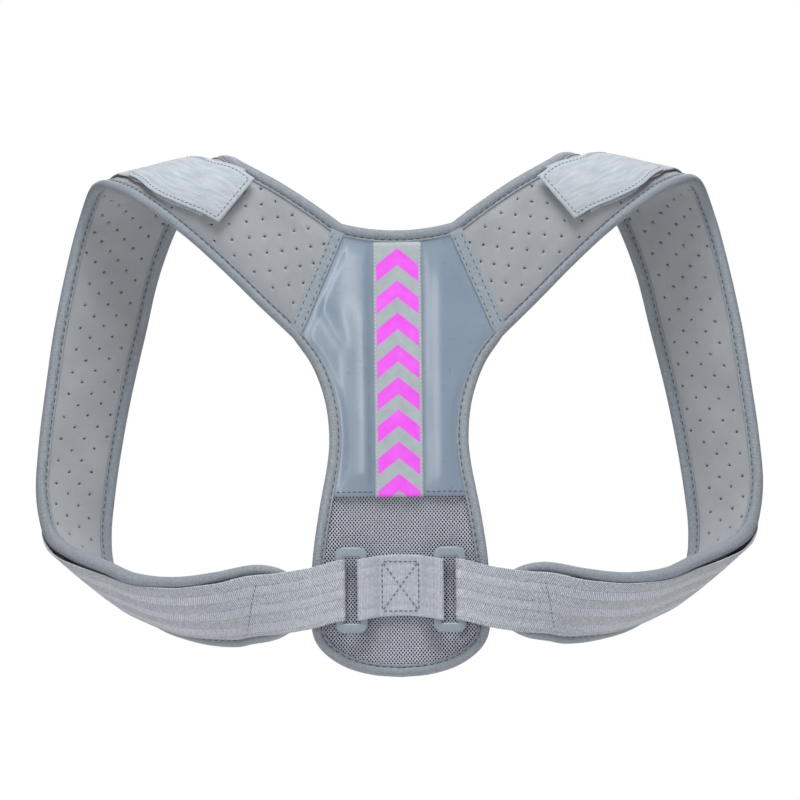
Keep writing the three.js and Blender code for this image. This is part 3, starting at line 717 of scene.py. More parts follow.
# %% The pad's sections
PAD_COLUMNS = 22
PUFF = {"outer": 0.9, "inner": 0.7}  # how far the foam rises beyond the bindings
PUFF_STARTS, PUFF_FULL = 5.5, 13.0  # millimetres in from the edge
PRESSED, PRESSED_WIDE = 0.5, 5.0  # how thin the foam is pressed beside a binding
WAVE = 0.5  # unevenness of the faces
WAVES_ALONG, WAVES_ACROSS = 0.55, 0.9  # waves for each row, and for each half width
WAVES_START, WAVES_FULL = 4.0, 12.0


def pad_section_places(shares):
    """Rows and columns of places on the band, inside the binding, and their distance from an edge."""
    u, half = outline(shares)
    lateral = inwards(u, -half, edge_inset)
    medial = inwards(u, half, edge_inset)
    column = np.linspace(0, 1, PAD_COLUMNS + 1)
    us = mix(lateral[0][:, None], medial[0][:, None], column)
    vs = mix(lateral[1][:, None], medial[1][:, None], column)
    width = np.linalg.norm(on_band(*medial, 0) - on_band(*lateral, 0), axis=-1)
    edge = np.minimum(column, 1 - column) * width[:, None]
    return us, vs, edge, width


def pad_height(edge, outer, wave):
    """Height of a face of the pad at a distance in from the edge."""
    puffed = ease(edge, PUFF_STARTS, PUFF_FULL)
    pressed = PRESSED * (1 - ease(edge, 0, PRESSED_WIDE))
    if outer:
        return PAD + PUFF["outer"] * puffed - pressed + wave
    return -PUFF["inner"] * puffed + pressed + wave


def soft_waves(us, vs, seed):
    """Slow uneven waves, the same on each run."""
    values = [
        noise.noise(Vector((u * WAVES_ALONG, v * WAVES_ACROSS, seed)))
        for u, v in zip(us.ravel(), vs.ravel())
    ]
    return np.array(values).reshape(us.shape) * WAVE


# %% Where the holes are
HOLE_PITCH = {"rows": 9.7, "columns": 10.3}
HOLE_TURN = math.radians(43)
HOLE_CLEAR = 9.6  # from the band's edge to the nearest hole
HOLE_RADIUS, HOLE_DEPTH, HOLE_TAPER = 1.25, 1.5, 0.12
FIRST_HOLE, LAST_HOLE = 3.0, 8.0  # from the two ends of the band
GRID_REACH, WIDEST = 80, 40.0  # more holes each way, and more width, than a band has


def hole_places():
    """Distance along the middle and across it, for each hole that may lie on the band."""
    places = []
    for a in range(-GRID_REACH, GRID_REACH):
        for b in range(-GRID_REACH, GRID_REACH):
            x, y = a * HOLE_PITCH["columns"], b * HOLE_PITCH["rows"]
            along = x * math.cos(HOLE_TURN) + y * math.sin(HOLE_TURN)
            across = y * math.cos(HOLE_TURN) - x * math.sin(HOLE_TURN)
            if FIRST_HOLE < along < pad_distances[-1] - LAST_HOLE and abs(across) < WIDEST:
                places.append((along, across))
    return places


print("holes that may lie on a band:", len(hole_places()))

# %% [markdown]
# The outer and the body face share their rows and columns, so each hole has a vertex on both. That
# vertex is moved from its even place to the hole's true centre before the grid is bent.


# %% The pads
def make_pad(side, name):
    us, vs, edge, width = pad_section_places(pad_shares)
    free = ease(edge, WAVES_START, WAVES_FULL)
    faces = []
    for outer, seed in ((True, 3.0), (False, 9.0)):
        wave = soft_waves(us, vs, seed) * free
        faces.append(on_band(us, vs, pad_height(edge, outer, wave)))
    holes = []
    for along, across in hole_places():
        row = int(np.argmin(abs(pad_distances - along)))
        share = 0.5 + across / width[row]
        column = round(share * PAD_COLUMNS)
        room = (0.5 - abs(share - 0.5)) * width[row]
        if room < HOLE_CLEAR - edge_inset or not 1 <= row < len(us) - 2:
            continue
        place = np.interp(along, pad_distances, pad_shares)
        u = outline(np.array([place]))[0]
        v = np.array([mix(vs[row, 0], vs[row, -1], share)])
        for face, outer in enumerate((True, False)):
            height = pad_height(np.array([room]), outer, 0.0)
            faces[face][row, column] = on_band(u, v, height)[0]
        holes.append((row, column))
    sections = mirrored(np.concatenate([faces[0], faces[1][:, ::-1]], axis=1), side)
    bm, grid = bent_grid(sections)
    columns = PAD_COLUMNS + 1
    centres = [grid[row, column] for row, column in holes]
    centres += [grid[row, 2 * columns - 1 - column] for row, column in holes]
    bmesh.ops.remove_doubles(bm, verts=bm.verts, dist=SAME_PLACE)
    bmesh.ops.recalc_face_normals(bm, faces=bm.faces)
    cut = bmesh.ops.bevel(
        bm, geom=centres, offset=HOLE_RADIUS * METRE, offset_type="OFFSET", segments=1, profile=0.5,
        affect="VERTICES", material=-1,
    )
    largest = (4 * HOLE_RADIUS * METRE) ** 2
    mouths = [face for face in cut["faces"] if face.is_valid and face.calc_area() < largest]
    bmesh.ops.inset_individual(
        bm, faces=mouths, thickness=HOLE_TAPER * METRE, depth=-HOLE_DEPTH * METRE
    )
    for face in mouths:
        # The hole floors take the near-black finish: painted shade inside each hole.
        face.material_index = 1
    piece = add_piece(name, bm, [pad_fabric, foam], [name], subdivide=1)
    print(len(holes), "holes")
    return piece


for side, where in ((-1, "left"), (1, "right")):
    make_pad(side, f"arm_pad_{where}")

# %% [markdown]
# ## Bindings
# The raw edges are wrapped in a soft tape that rolls up into a puffy tube, with a stitched groove near
# its inner edge. A curve with a bevel object could carry the section, but it would twist where the band
# turns over the shoulder. So the section is set out from the band's own surface, at each step along an
# edge: first round one arm band, then along the neckline or round the lobe, then along the other band.
# Each stitch pulls the groove in a little.

# %% The edge of the back panel
seam_run = SEAM_FOOT - SEAM_TOP
seam_length = math.hypot(*seam_run)
# Each row: out as a share of LOBE_HALF, down as a share of the panel's length below the neckline.
SIDE_ROWS = [
    (0.96, 0.303), (0.82, 0.384), (0.78, 0.465), (0.803, 0.519), (0.904, 0.627), (0.983, 0.735),
    (1.0, 0.82), (0.995, 0.895), (0.938, 0.926), (0.82, 0.952), (0.618, 0.977), (0.33, 0.994),
]
side_curve = curve_through(
    [(*SEAM_FOOT, 0)]
    + [(out * LOBE_HALF, NECK_DOWN + down * panel_drop, 0) for out, down in SIDE_ROWS]
    + [(0, lobe_down, 0)]
)


def side_place(share):
    """Out and down of the panel's side, and the direction into the panel there."""
    share = np.asarray(share, float)
    point = side_curve(share)
    run = unit(side_curve(np.minimum(share + NUDGE, 1)) - side_curve(np.maximum(share - NUDGE, 0)))
    return point[..., 0], point[..., 1], -run[..., 1], run[..., 0]


THINNING = (12.0, 36.0)  # below the hem, where the panel goes from the pad's thickness to the mesh's


def back_thick(down):
    return mix(PAD, MESH, ease(down, hem_down + THINNING[0], hem_down + THINNING[1]))


print("half width of the waist:", round(side_place(np.array([0.25]))[0][0], 1), "mm")


# %% Runs of the binding
# Each run gives points for a share along it, a depth in from the edge, and a height beyond one face:
# face is 1 on the outer side and 0 on the body side.
FULLER = 0.55  # the upper roll is thicker where the band turns under the arm
FULLER_ROWS = (13, 17, 20, 24)  # rows where that starts, is full, starts to fade and has ended


def band_run(side, edge, backwards):
    """A run round one arm band, on its medial edge (1) or its lateral edge (-1)."""

    def points(share, depth, face, extra):
        u, half = outline(1 - share if backwards else share)
        places = inwards(u[:, None], edge * half[:, None], depth)
        starts, full, fades, ends = FULLER_ROWS
        turn = (edge < 0) * FULLER * ease(u, starts, full) * (1 - ease(u, fades, ends))
        return mirrored(on_band(*places, face * PAD + extra * (1 + turn[:, None])), side)

    return points


def neck_run(share, depth, face, extra):
    """The run along the neckline, from seam to seam."""
    x = mix(-SEAM_TOP[0], SEAM_TOP[0], share)[:, None]
    lean = x / SEAM_TOP[0] * seam_run[0] / seam_run[1]
    way = unit(stack(lean, 1 + 0 * lean))
    down = mix(NECK_DOWN, SEAM_TOP[1], (x / SEAM_TOP[0]) ** 2)
    return on_back(x + way[..., 0] * depth, down + way[..., 1] * depth, face * PAD + extra)


def side_run(side, backwards):
    """A run down one side of the panel, from the seam's foot to the lowest point."""

    def points(share, depth, face, extra):
        share = 1 - share if backwards else share
        x, down, in_x, in_down = (part[:, None] for part in side_place(share))
        turned = ease(share, 0, 0.12)[:, None]
        way_x = mix(-seam_run[0] / seam_length, in_x, turned)
        way_down = mix(-seam_run[1] / seam_length, in_down, turned)
        way = unit(stack(way_x, way_down))
        height = face * back_thick(down) + extra
        return mirrored(on_back(x + way[..., 0] * depth, down + way[..., 1] * depth, height), side)

    return points


BINDING_RUNS = {
    "neck_binding": [band_run(-1, 1, True), neck_run, band_run(1, 1, False)],
    "side_binding": [
        band_run(-1, -1, True), side_run(-1, False), side_run(1, True), band_run(1, -1, False),
    ],
}

# %% The binding's section
# Each row: depth in from the edge, face, height beyond that face. It runs from the outer lip over the
# roll to the body side, and back inside the fold.
HALF_ROLL = [
    (7.55, 0.05), (7.5, 0.7), (7.05, 0.95), (6.5, 0.7), (5.9, 0.05), (5.3, 0.75),
    (4.4, 1.3), (3.2, 1.5), (2.0, 1.3), (1.0, 0.75), (0.3, -0.1), (0.0, -1.2),
]
PROFILE = np.array(
    [(depth, 1, extra) for depth, extra in HALF_ROLL]
    + [(depth, 0, -extra) for depth, extra in reversed(HALF_ROLL)]
    + [(4.5, 0, -0.12), (1.6, 0, -0.12), (1.6, 1, 0.12), (4.5, 1, 0.12)]
)
GROOVE, GROOVE_WIDTH = 5.9, 0.9  # its depth in from the edge
STITCH_PITCH, BINDING_STEP = 4.4, 1.2
SWELL, PULL = 0.22, 0.3  # how much the roll varies by itself, and at the stitches
SWELLS = 0.06  # of them for each millimetre
print("the binding's section has", len(PROFILE), "points")


def binding_sections(runs):
    """Sections along all runs at even steps, and the length at each."""
    sections, lengths, start = [], [], 0.0
    middle = np.array([BINDING_WIDTH / 2]), np.array([0.5]), np.array([0.0])
    for run in runs:
        shares, distances = even_shares(lambda s, run=run: run(s, *middle)[:, 0], BINDING_STEP)
        last = len(shares) - (0 if run is runs[-1] else 1)
        shares, distances = shares[:last], distances[:last] + start
        depth, face, extra = (PROFILE[:, k][None, :] for k in range(3))
        pull = np.cos(2 * np.pi * distances / STITCH_PITCH)[:, None]
        near_groove = np.exp(-(((depth - GROOVE) / GROOVE_WIDTH) ** 2))
        swell = np.array([noise.noise(Vector((d * SWELLS, 0, 5))) for d in distances])[:, None]
        outside = np.abs(extra) > 0.2
        plump = 1 + outside * (SWELL * swell + PULL * pull * near_groove)
        sections.append(run(shares, depth, face, extra * plump))
        lengths.append(distances)
        start = distances[-1] + BINDING_STEP
    return np.concatenate(sections), np.concatenate(lengths)


bindings = {}
for name, runs in BINDING_RUNS.items():
    sections, lengths = binding_sections(runs)
    bm, _ = bent_grid(sections)
    bindings[name] = add_piece(name, bm, [binding_tape], [name])
    bindings[name]["length"] = lengths[-1]
    print(name, "is", round(lengths[-1]), "mm long")

# %% [markdown]
# ## Stitches
# A seam is a row of short thread ends that dip into the cloth. An array along a curve would place them
# too, but each stitch also has to face outwards from a surface that bends. So one small rounded
# lozenge is made once and copied along each seam line, turned to the seam and to the surface.


# %% Rows of stitches
def one_stitch():
    bm = bmesh.new()
    bmesh.ops.create_icosphere(bm, subdivisions=2, radius=1)
    mesh = bpy.data.meshes.new("one_stitch")
    bm.to_mesh(mesh)
    bm.free()
    return mesh


STITCH_MESH = one_stitch()
print("one stitch has", len(STITCH_MESH.polygons), "faces")

# For each seam: the pitch, then a stitch's length, width and thickness.
SEAMS = {
    "binding": (STITCH_PITCH, (2.7, 0.95, 0.7)),
    "ribbon": (2.4, (1.6, 0.6, 0.4)),
    "hem": (3.6, (2.5, 0.9, 0.7)),
    "seam_tape": (STITCH_PITCH, (2.2, 0.7, 0.5)),
    "webbing": (2.8, (1.8, 0.5, 0.4)),
    "box": (3.2, (2.3, 0.7, 0.5)),
    "tab": (3.0, (2.0, 0.55, 0.4)),
}
STITCH_REACH = 0.4  # to each side of a stitch, to see which way the seam runs


def seam_places(line, outward, seam):
    """A matrix for each stitch along a line of points with its outward directions."""
    pitch, size = SEAMS[seam]
    length = running_length(line)
    count = max(int(round(length[-1] / pitch)), 1)
    matrices = []
    for k in range(count):
        at = (k + 0.5) * length[-1] / count
        here, ahead, behind = (
            Vector([np.interp(at + step, length, line[:, axis]) for axis in range(3)])
            for step in (0, STITCH_REACH, -STITCH_REACH)
        )
        up = Vector([np.interp(at, length, outward[:, axis]) for axis in range(3)])
        along = (ahead - behind).normalized()
        up = (up - along * up.dot(along)).normalized()
        turn = Matrix((along, up.cross(along), up)).transposed().to_4x4()
        scale = Matrix.Diagonal((*(value / 2 * METRE for value in size), 1))
        matrices.append(Matrix.Translation(in_metres(here)) @ turn @ scale)
    return matrices


def add_stitches(name, matrices, material):
    """One object with a stitch at each matrix."""
    bm = bmesh.new()
    for matrix in matrices:
        start = len(bm.verts)
        bm.from_mesh(STITCH_MESH)
        bm.verts.ensure_lookup_table()
        for vert in bm.verts[start:]:
            vert.co = matrix @ vert.co
    print(name, "has", len(matrices), "stitches")
    return add_piece(name, bm, [material], closed=False)


# %% Stitches along the bindings
STITCH_LIFT, LINE_STEP = 0.3, 1.5
for name, runs in BINDING_RUNS.items():
    matrices = []
    for run in runs:
        for face, lift in ((1, STITCH_LIFT), (0, -STITCH_LIFT)):
            at = tuple(np.array([value]) for value in (GROOVE, float(face), lift))
            above = tuple(np.array([value]) for value in (GROOVE, float(face), lift * 3))
            shares, _ = even_shares(lambda s, run=run, at=at: run(s, *at)[:, 0], LINE_STEP)
            line = run(shares, *at)[:, 0]
            matrices += seam_places(line, run(shares, *above)[:, 0] - line, "binding")
    stitches = add_stitches(f"{name}_stitches", matrices, shade_darkened_thread)

# %% [markdown]
# ## Back panel
# The air mesh carries the panel. It is a spacer fabric: two open nets with yarn between. The layer
# between is painted near black, as painted shade for the depth inside the mesh, so holes look dark.
# A see-through texture would be lighter to draw, but only real threads cast shadows into the holes,
# and Blender's wireframe operator turns a slanting grid into a net in one step. Over the mesh lies the
# leatherette, sewn under the bindings, which bulges a little on both sides of the ribbon and has a few
# long soft folds.


# %% Layers between the sides of the panel
def panel_rows(last_share, seam_steps, side_steps):
    """Out and down of the panel's side inside the binding, from the neckline to a place on the side."""
    first = edge_inset / seam_length
    share = mix(first, 1 - 2 * first, np.arange(seam_steps) / (seam_steps - 1))
    seam = SEAM_TOP + seam_run * share[:, None] - (GAP * seam_length / seam_run[1], 0)
    x, down, in_x, in_down = side_place(np.linspace(0, last_share, side_steps + 1)[1:])
    side = np.stack([x + in_x * edge_inset, down + in_down * edge_inset], axis=-1)
    return np.concatenate([seam, side])


def layer_sections(rows, columns, bottom_sag, low, high):
    """Closed sections from side to side. low and high give heights for places across and down."""
    count = len(rows)
    across = np.linspace(-1, 1, columns)[None, :]
    i = np.arange(count)[:, None] / (count - 1)
    sag = (NECK_DOWN - SEAM_TOP[1]) * (1 - ease(rows[:, 1:], SEAM_TOP[1], SEAM_FOOT[1]))
    sag = sag + bottom_sag * ease(i, 0.9, 1)
    x = across * rows[:, :1]
    down = rows[:, 1:] + sag * (1 - across**2)
    near = on_back(x, down, low(x, down))
    far = on_back(x, down, high(x, down))
    return np.concatenate([far, near[:, ::-1]], axis=1)


def flat_at(height):
    """A face that keeps one height everywhere."""
    return lambda x, down: np.full(np.broadcast(x, down).shape, height)


# %% Spacer layer of the air mesh, painted near black as shade
LAST_ROW = 12.2  # of SIDE_ROWS, a little past its last one, where the straight bottom starts
BOTTOM_SHARE = LAST_ROW / (len(SIDE_ROWS) + 1)
NET_SINK = 0.75  # the nets lie this much outside the spacer yarn

mesh_rows = panel_rows(BOTTOM_SHARE, 12, 60)
foot_sag = lobe_down - edge_inset - mesh_rows[-1, 1]
bm, _ = bent_grid(layer_sections(mesh_rows, 31, foot_sag, flat_at(NET_SINK), flat_at(MESH - NET_SINK)))
spacer = add_piece("mesh_spacer", bm, [spacer_sheet_shade], ["mesh_panel"])

# %% [markdown]
# A net starts as a square grid that stands on its corner and is stretched to the mesh's own pitch.
# What lies beyond the panel's outline is deleted, the rest is laid on the back, and the wireframe
# operator turns its edges to threads.

# %% Nets of the air mesh
NET_ACROSS, NET_DOWN, NET_THREAD, NET_DEPTH = 2.1, 2.6, 0.62, 0.2
NET_TUCK, NET_CLEAR = 1.2, 0.4  # how far a net goes under the bindings above, and stays clear below
NET_NECK, NET_FOOT, NET_HEM = 2.5, 3.0, 4.0  # to the neckline, to the lowest edge, behind the hem
NET_WIDEST = 140.0


def net_half_width(down):
    """Half the width of a net at a distance down."""
    sides = panel_rows(1.0, 12, 120)
    order = np.argsort(sides[:, 1])
    tucked = NET_TUCK if down < SEAM_FOOT[1] - 2 else -NET_CLEAR
    return np.interp(down, sides[order, 1], sides[order, 0]) + tucked


def make_net(name, top, height):
    """A net from a height down to the lowest edge, over the back by a height."""
    reach = int((lobe_down - top) / NET_DOWN + NET_WIDEST / NET_ACROSS)
    bm = bmesh.new()
    bmesh.ops.create_grid(bm, x_segments=reach, y_segments=reach, size=0.5)
    outside = []
    for vert in bm.verts:
        p, q = vert.co.x * reach, vert.co.y * reach  # steps along the two slants of the net
        x = (p - q) * NET_ACROSS / 2
        down = (top + lobe_down) / 2 + (p + q) * NET_DOWN / 2
        neck = mix(NECK_DOWN, SEAM_TOP[1], (x / SEAM_TOP[0]) ** 2) + NET_NECK
        if down < max(top, neck) or down > lobe_down - NET_FOOT or abs(x) > net_half_width(down):
            outside.append(vert)
        vert.co = (x, down, 0)
    bmesh.ops.delete(bm, geom=outside, context="VERTS")
    flat = np.array([vert.co for vert in bm.verts])
    bent = in_metres(on_back(flat[:, 0], flat[:, 1], height))
    for vert, place in zip(bm.verts, bent):
        vert.co = place
    bmesh.ops.recalc_face_normals(bm, faces=bm.faces)
    bmesh.ops.wireframe(
        bm, faces=bm.faces, thickness=NET_THREAD * METRE, use_replace=True, use_boundary=True,
        use_even_offset=True,
    )
    return add_piece(name, bm, [mesh_yarn], closed=False)


nets = [
    make_net("mesh_net_outer", hem_down - NET_HEM, MESH - NET_DEPTH),
    make_net("mesh_net_body", NECK_DOWN, NET_DEPTH),
]

# %% [markdown]
# Leather cloth that is sewn down on all sides folds in a few soft lines. A cloth simulation would find
# its own folds, while a height worked out for each place puts them where the real ones are: one long
# fold to the left of the ribbon, a lower one to the right and a short one in the corner of the seam.

# %% Leatherette with its folds
side_shares = np.linspace(0, 0.8, 400)
hem_share = float(np.interp(hem_down, side_curve(side_shares)[:, 1], side_shares))
leather_rows = panel_rows(hem_share, 26, 60)
HEM_STITCHES = 2.6  # stitches to the lower edge


def ridge(x, middle, width):
    """1 at the middle, and fading to both sides."""
    return np.exp(-(((x - middle) / width) ** 2))


def leather_height(x, down):
    """Height of the leatherette over the body side: its thickness, its folds and the sewn hem."""
    # It is free to rise only away from the ribbon, the bindings and the hem.
    out = np.interp(down, leather_rows[:, 1], leather_rows[:, 0]) - (BINDING_WIDTH - edge_inset)
    free = ease(abs(x), RIBBON_WIDTH / 2 + 0.5, RIBBON_WIDTH / 2 + 5) * ease(out - abs(x), 0, 5)
    free = free * ease(down, NECK_DOWN + BINDING_WIDTH, NECK_DOWN + BINDING_WIDTH + 9)
    above_hem = 1 - ease(down, hem_down - 14, hem_down - 3)
    # The left fold is 2 mm high and steep beside the ribbon, and the right one is low and broad.
    left = 2.0 * ease(x, -38, -19.5) * (1 - ease(x, -19.5, -15.5))
    left = left * mix(0.45, 1, ease(down, 85, 112)) * above_hem
    right = 1.1 * ease(x, 18, 28) * (1 - ease(x, 28, 46))
    right = right * mix(0.35, 1, ease(down, 66, 84)) * mix(0.6, 1, above_hem)
    # A short crease runs inwards from the left seam.
    corner = 0.7 * ridge(x, mix(-49, -35, ease(down, 84, 120)), 4.5)
    corner = corner * ease(down, 84, 95) * (1 - ease(down, 110, 128))
    slow = 0.25 * np.sin(down / 19 + x / 9) + 0.15 * np.sin(down / 7.3 - x / 5)
    hem = 0.45 * ridge(down, hem_down - HEM_STITCHES, 0.6) - 0.15 * ridge(down, hem_down - 0.9, 0.6)
    return PAD + 0.25 + free * (0.4 + left + right + corner + 0.12 * slow) - hem


bm, _ = bent_grid(layer_sections(leather_rows, 91, 0, flat_at(MESH + GAP), leather_height))
leather = add_piece("leatherette_panel", bm, [leatherette], ["leatherette_panel"])

# %% [markdown]
# ## Ribbon and seam tapes
# Flat strips sewn on the panel. The ribbon has a pale woven edge on each side, caught down by small
# stitches. The seam tapes cover the joint between the panel and the arm bands with two stitch rows. A
# plane with a Solidify modifier would have square sides, so each strip gets a section with round ones.


# %% Strips on the back
def strip_profile(columns, thick, crown):
    """Columns from 0 to 1 and heights over the strip's underside, round the strip."""
    share = np.linspace(0, 1, columns)
    rounded = thick * np.sqrt(np.clip(1 - (2 * abs(share - 0.5)) ** 14, 0.12, 1))
    top = rounded + crown * (1 - (2 * share - 1) ** 2)
    return np.concatenate([share, share[::-1]]), np.concatenate([top, 0 * top])


ribbon_top = NECK_DOWN + BINDING_WIDTH - 1.5
RIBBON_SINK = 1.3  # its end dips under the neck binding
share, height = strip_profile(21, TAPE, 0.15)
lip = 0.18 * (ridge(abs(share - 0.5) * RIBBON_WIDTH, RIBBON_WIDTH / 2 - 1.0, 0.7)) * (height > 0)
downs = np.linspace(ribbon_top, hem_down + 0.6, 80)[:, None]
x = mix(-RIBBON_WIDTH / 2, RIBBON_WIDTH / 2, share)[None, :]
sink = RIBBON_SINK * (1 - ease(downs, ribbon_top + 0.6, ribbon_top + 2.6))
bm, _ = bent_grid(on_back(x, downs, PAD + GAP - sink + height + lip))
chart = bm.loops.layers.uv.new("chart")
for face in bm.faces:
    for loop in face.loops:
        loop[chart].uv = (loop.vert.co.x / METRE, SHOULDER_DOWN - loop.vert.co.z / METRE)
ribbon = add_piece("chevron_ribbon", bm, [ribbon_finish], ["chevron_ribbon"])


def back_line(x, down, height):
    """A seam line on the back and its outward directions."""
    line = on_back(x, down, height)
    return line, on_back(x, down, height + 1) - line


matrices = []
down_line = np.linspace(ribbon_top + 2, hem_down - 0.5, 60)
for x in (-RIBBON_WIDTH / 2 + 1.2, RIBBON_WIDTH / 2 - 1.2):
    line, outward = back_line(x + 0 * down_line, down_line, PAD + GAP + TAPE + 0.12)
    matrices += seam_places(line, outward, "ribbon")
ribbon_stitches = add_stitches("ribbon_stitches", matrices, pale_thread)

# %% Hem stitches of the leatherette
half_hem = leather_rows[-1, 0] - BINDING_WIDTH
matrices = []
for start, end in ((-half_hem, -RIBBON_WIDTH / 2 - 1), (RIBBON_WIDTH / 2 + 1, half_hem)):
    x = np.linspace(start, end, 20)
    down = hem_down - HEM_STITCHES + 0 * x
    line, outward = back_line(x, down, leather_height(x, down) + 0.2)
    matrices += seam_places(line, outward, "hem")
hem_stitches = add_stitches("hem_stitches", matrices, shade_darkened_thread)


# %% Seam tapes
TAPE_SEAM = 1.9  # stitches to the tape's edge


def make_seam_tape_strip(side, name):
    share, height = strip_profile(13, TAPE, 0.1)
    groove = -0.22 * (ridge(abs(share - 0.5) * SEAM_TAPE_WIDTH, SEAM_TAPE_WIDTH / 2 - TAPE_SEAM, 0.5))
    height = height + groove * (height > 0)
    run = np.linspace(0.045, 0.955, 60)[:, None]
    aside = mix(-SEAM_TAPE_WIDTH / 2, SEAM_TAPE_WIDTH / 2, share)[None, :] / seam_length
    out = SEAM_TOP[0] + seam_run[0] * run + seam_run[1] * aside
    down = SEAM_TOP[1] + seam_run[1] * run - seam_run[0] * aside
    sink = 0.5 * (1 - ease(run, 0.045, 0.09) * (1 - ease(run, 0.91, 0.955)))
    bm, _ = bent_grid(on_back(side * out, down, PAD + GAP - sink + height))
    tape = add_piece(name, bm, [seam_tape_finish], [name])
    matrices = []
    run = np.linspace(0.1, 0.9, 40)
    for offset in (-SEAM_TAPE_WIDTH / 2 + TAPE_SEAM, SEAM_TAPE_WIDTH / 2 - TAPE_SEAM):
        out = side * (SEAM_TOP[0] + seam_run[0] * run + seam_run[1] * offset / seam_length)
        down = SEAM_TOP[1] + seam_run[1] * run - seam_run[0] * offset / seam_length
        line, outward = back_line(out, down, PAD + GAP + TAPE - 0.05)
        matrices += seam_places(line, outward, "seam_tape")
    return [tape, add_stitches(f"{name}_stitches", matrices, shade_darkened_thread)]


sewn_on = [hem_stitches]
for side, where in ((-1, "left"), (1, "right")):
    sewn_on += make_seam_tape_strip(side, f"seam_tape_{where}")

# %% [markdown]
# ## Webbing
# The long webbing starts under itself near the ring, goes round the ring's bar, comes back over its own
# end and runs round the arm up to the shoulder. A cloth simulation could pull it tight, but it would
# settle a little differently from the construction model. So a few given sections say where it
# is, and a smooth run through them gives the rest. Its section has a thin groove between the bands.

# %% Where the webbing lies across the band
# Each row: row of the band, and the webbing's middle from -1 at the lateral to 1 at the medial edge.
WEB_ROWS = np.array([
    (2, 0.32), (3, 0.22), (5, -0.06), (6.5, -0.14), (8, -0.12),
    (10, 0), (15, 0), (18, -0.08), (22, -0.08), (TIP_END, 0),
])
TAB_END_ROW, WEB_END_ROW, SEWN_ROW = 2.72, 3.2, 23.4
TIP_WEB_ROWS = (24, 24.5)
TURN_ROW = (15.5, 21.0)  # where the strap stands off the band, under the arm
TURN_STEPS = 8  # sections of a webbing round a ring's bar
NEAR_TIP, FALLEN_AT_TIP = 0.7, 0.6  # of the way from the ring to the tip, and from the ring's height


def web_middle(u):
    """Where the webbing's middle lies across the band at a row."""
    i = int(np.clip(np.searchsorted(WEB_ROWS[:, 0], u) - 1, 0, len(WEB_ROWS) - 2))
    (start, low), (end, high) = WEB_ROWS[i], WEB_ROWS[i + 1]
    return mix(low, high, float(ease(u, start, end)))


def web_profile():
    """Columns across the webbing and the share of its half thickness there, round it."""
    columns = [(0.0, 0.4), (0.012, 0.9), (0.03, 1.0)]
    for k in range(1, WEB_BANDS):
        columns += [(k / WEB_BANDS - 0.018, 1.0), (k / WEB_BANDS, 0.72), (k / WEB_BANDS + 0.018, 1.0)]
    columns += [(0.97, 1.0), (0.988, 0.9), (1.0, 0.4)]
    return np.array(columns + [(c, -f) for c, f in reversed(columns)])


WEB_PROFILE = web_profile()


def strip_on_band(u, middle, height, width, thick, turn, profile=WEB_PROFILE):
    """A section of a strip on the band at a row, turned over by an angle."""
    place = np.array([u]), np.array([middle])
    along, across, _ = slopes(band, *place)
    wide = np.linalg.norm(across)
    square = np.linalg.norm(np.cross(along, across)) / np.linalg.norm(along) / wide
    half = width / 2 / square / wide
    v = middle + mix(-half, half, profile[:, 0])
    return on_band(u + 0 * v, v, height + profile[:, 1] * math.cos(turn) * thick / 2)


bar_x = RING_OUT + bar_offset
tip_middle = band(np.array([float(TIP_END)]), np.array([0.0]))[0]


def strip_near_ring(x, height, turn):
    """A section of the webbing between the pad's tip and the ring, at a place across the back."""
    share = min(max((x - bar_x) / (tip_middle[0] - bar_x), 0), 1)
    down = mix(ring_down, -tip_middle[2], share)
    face = WEB_PROFILE[:, 1] * WEB / 2
    aside = mix(-WEB_WIDTH / 2, WEB_WIDTH / 2, WEB_PROFILE[:, 0])
    return on_back(x + face * math.sin(turn), down + aside, height + face * math.cos(turn))


# %% The arm webbing
def stand_off(u):
    """How far the webbing stands off the band under the arm."""
    middle = sum(TURN_ROW) / 2
    return STAND_OFF * float(ease(u, TURN_ROW[0], middle) * (1 - ease(u, middle, TURN_ROW[1])))


# Rows of the band: where the loop leaves its sewn end, its steps, and the rows over which it sinks.
LOOP_STARTS, LOOP_STEP, SINKS_OVER = 0.4, 0.5, 0.9
WEB_STEP = 2.4  # between sections of the webbing
# The seam near the ring: its ends along the band, from the tip, and across it, and its two end shares.
SEAM_ALONG, SEAM_ACROSS, SEAM_SHARES = (0.15, -0.2), (-0.62, 0.62), (0.04, 0.96)
SEAM_LIFT = 0.1  # of its thread above the webbing


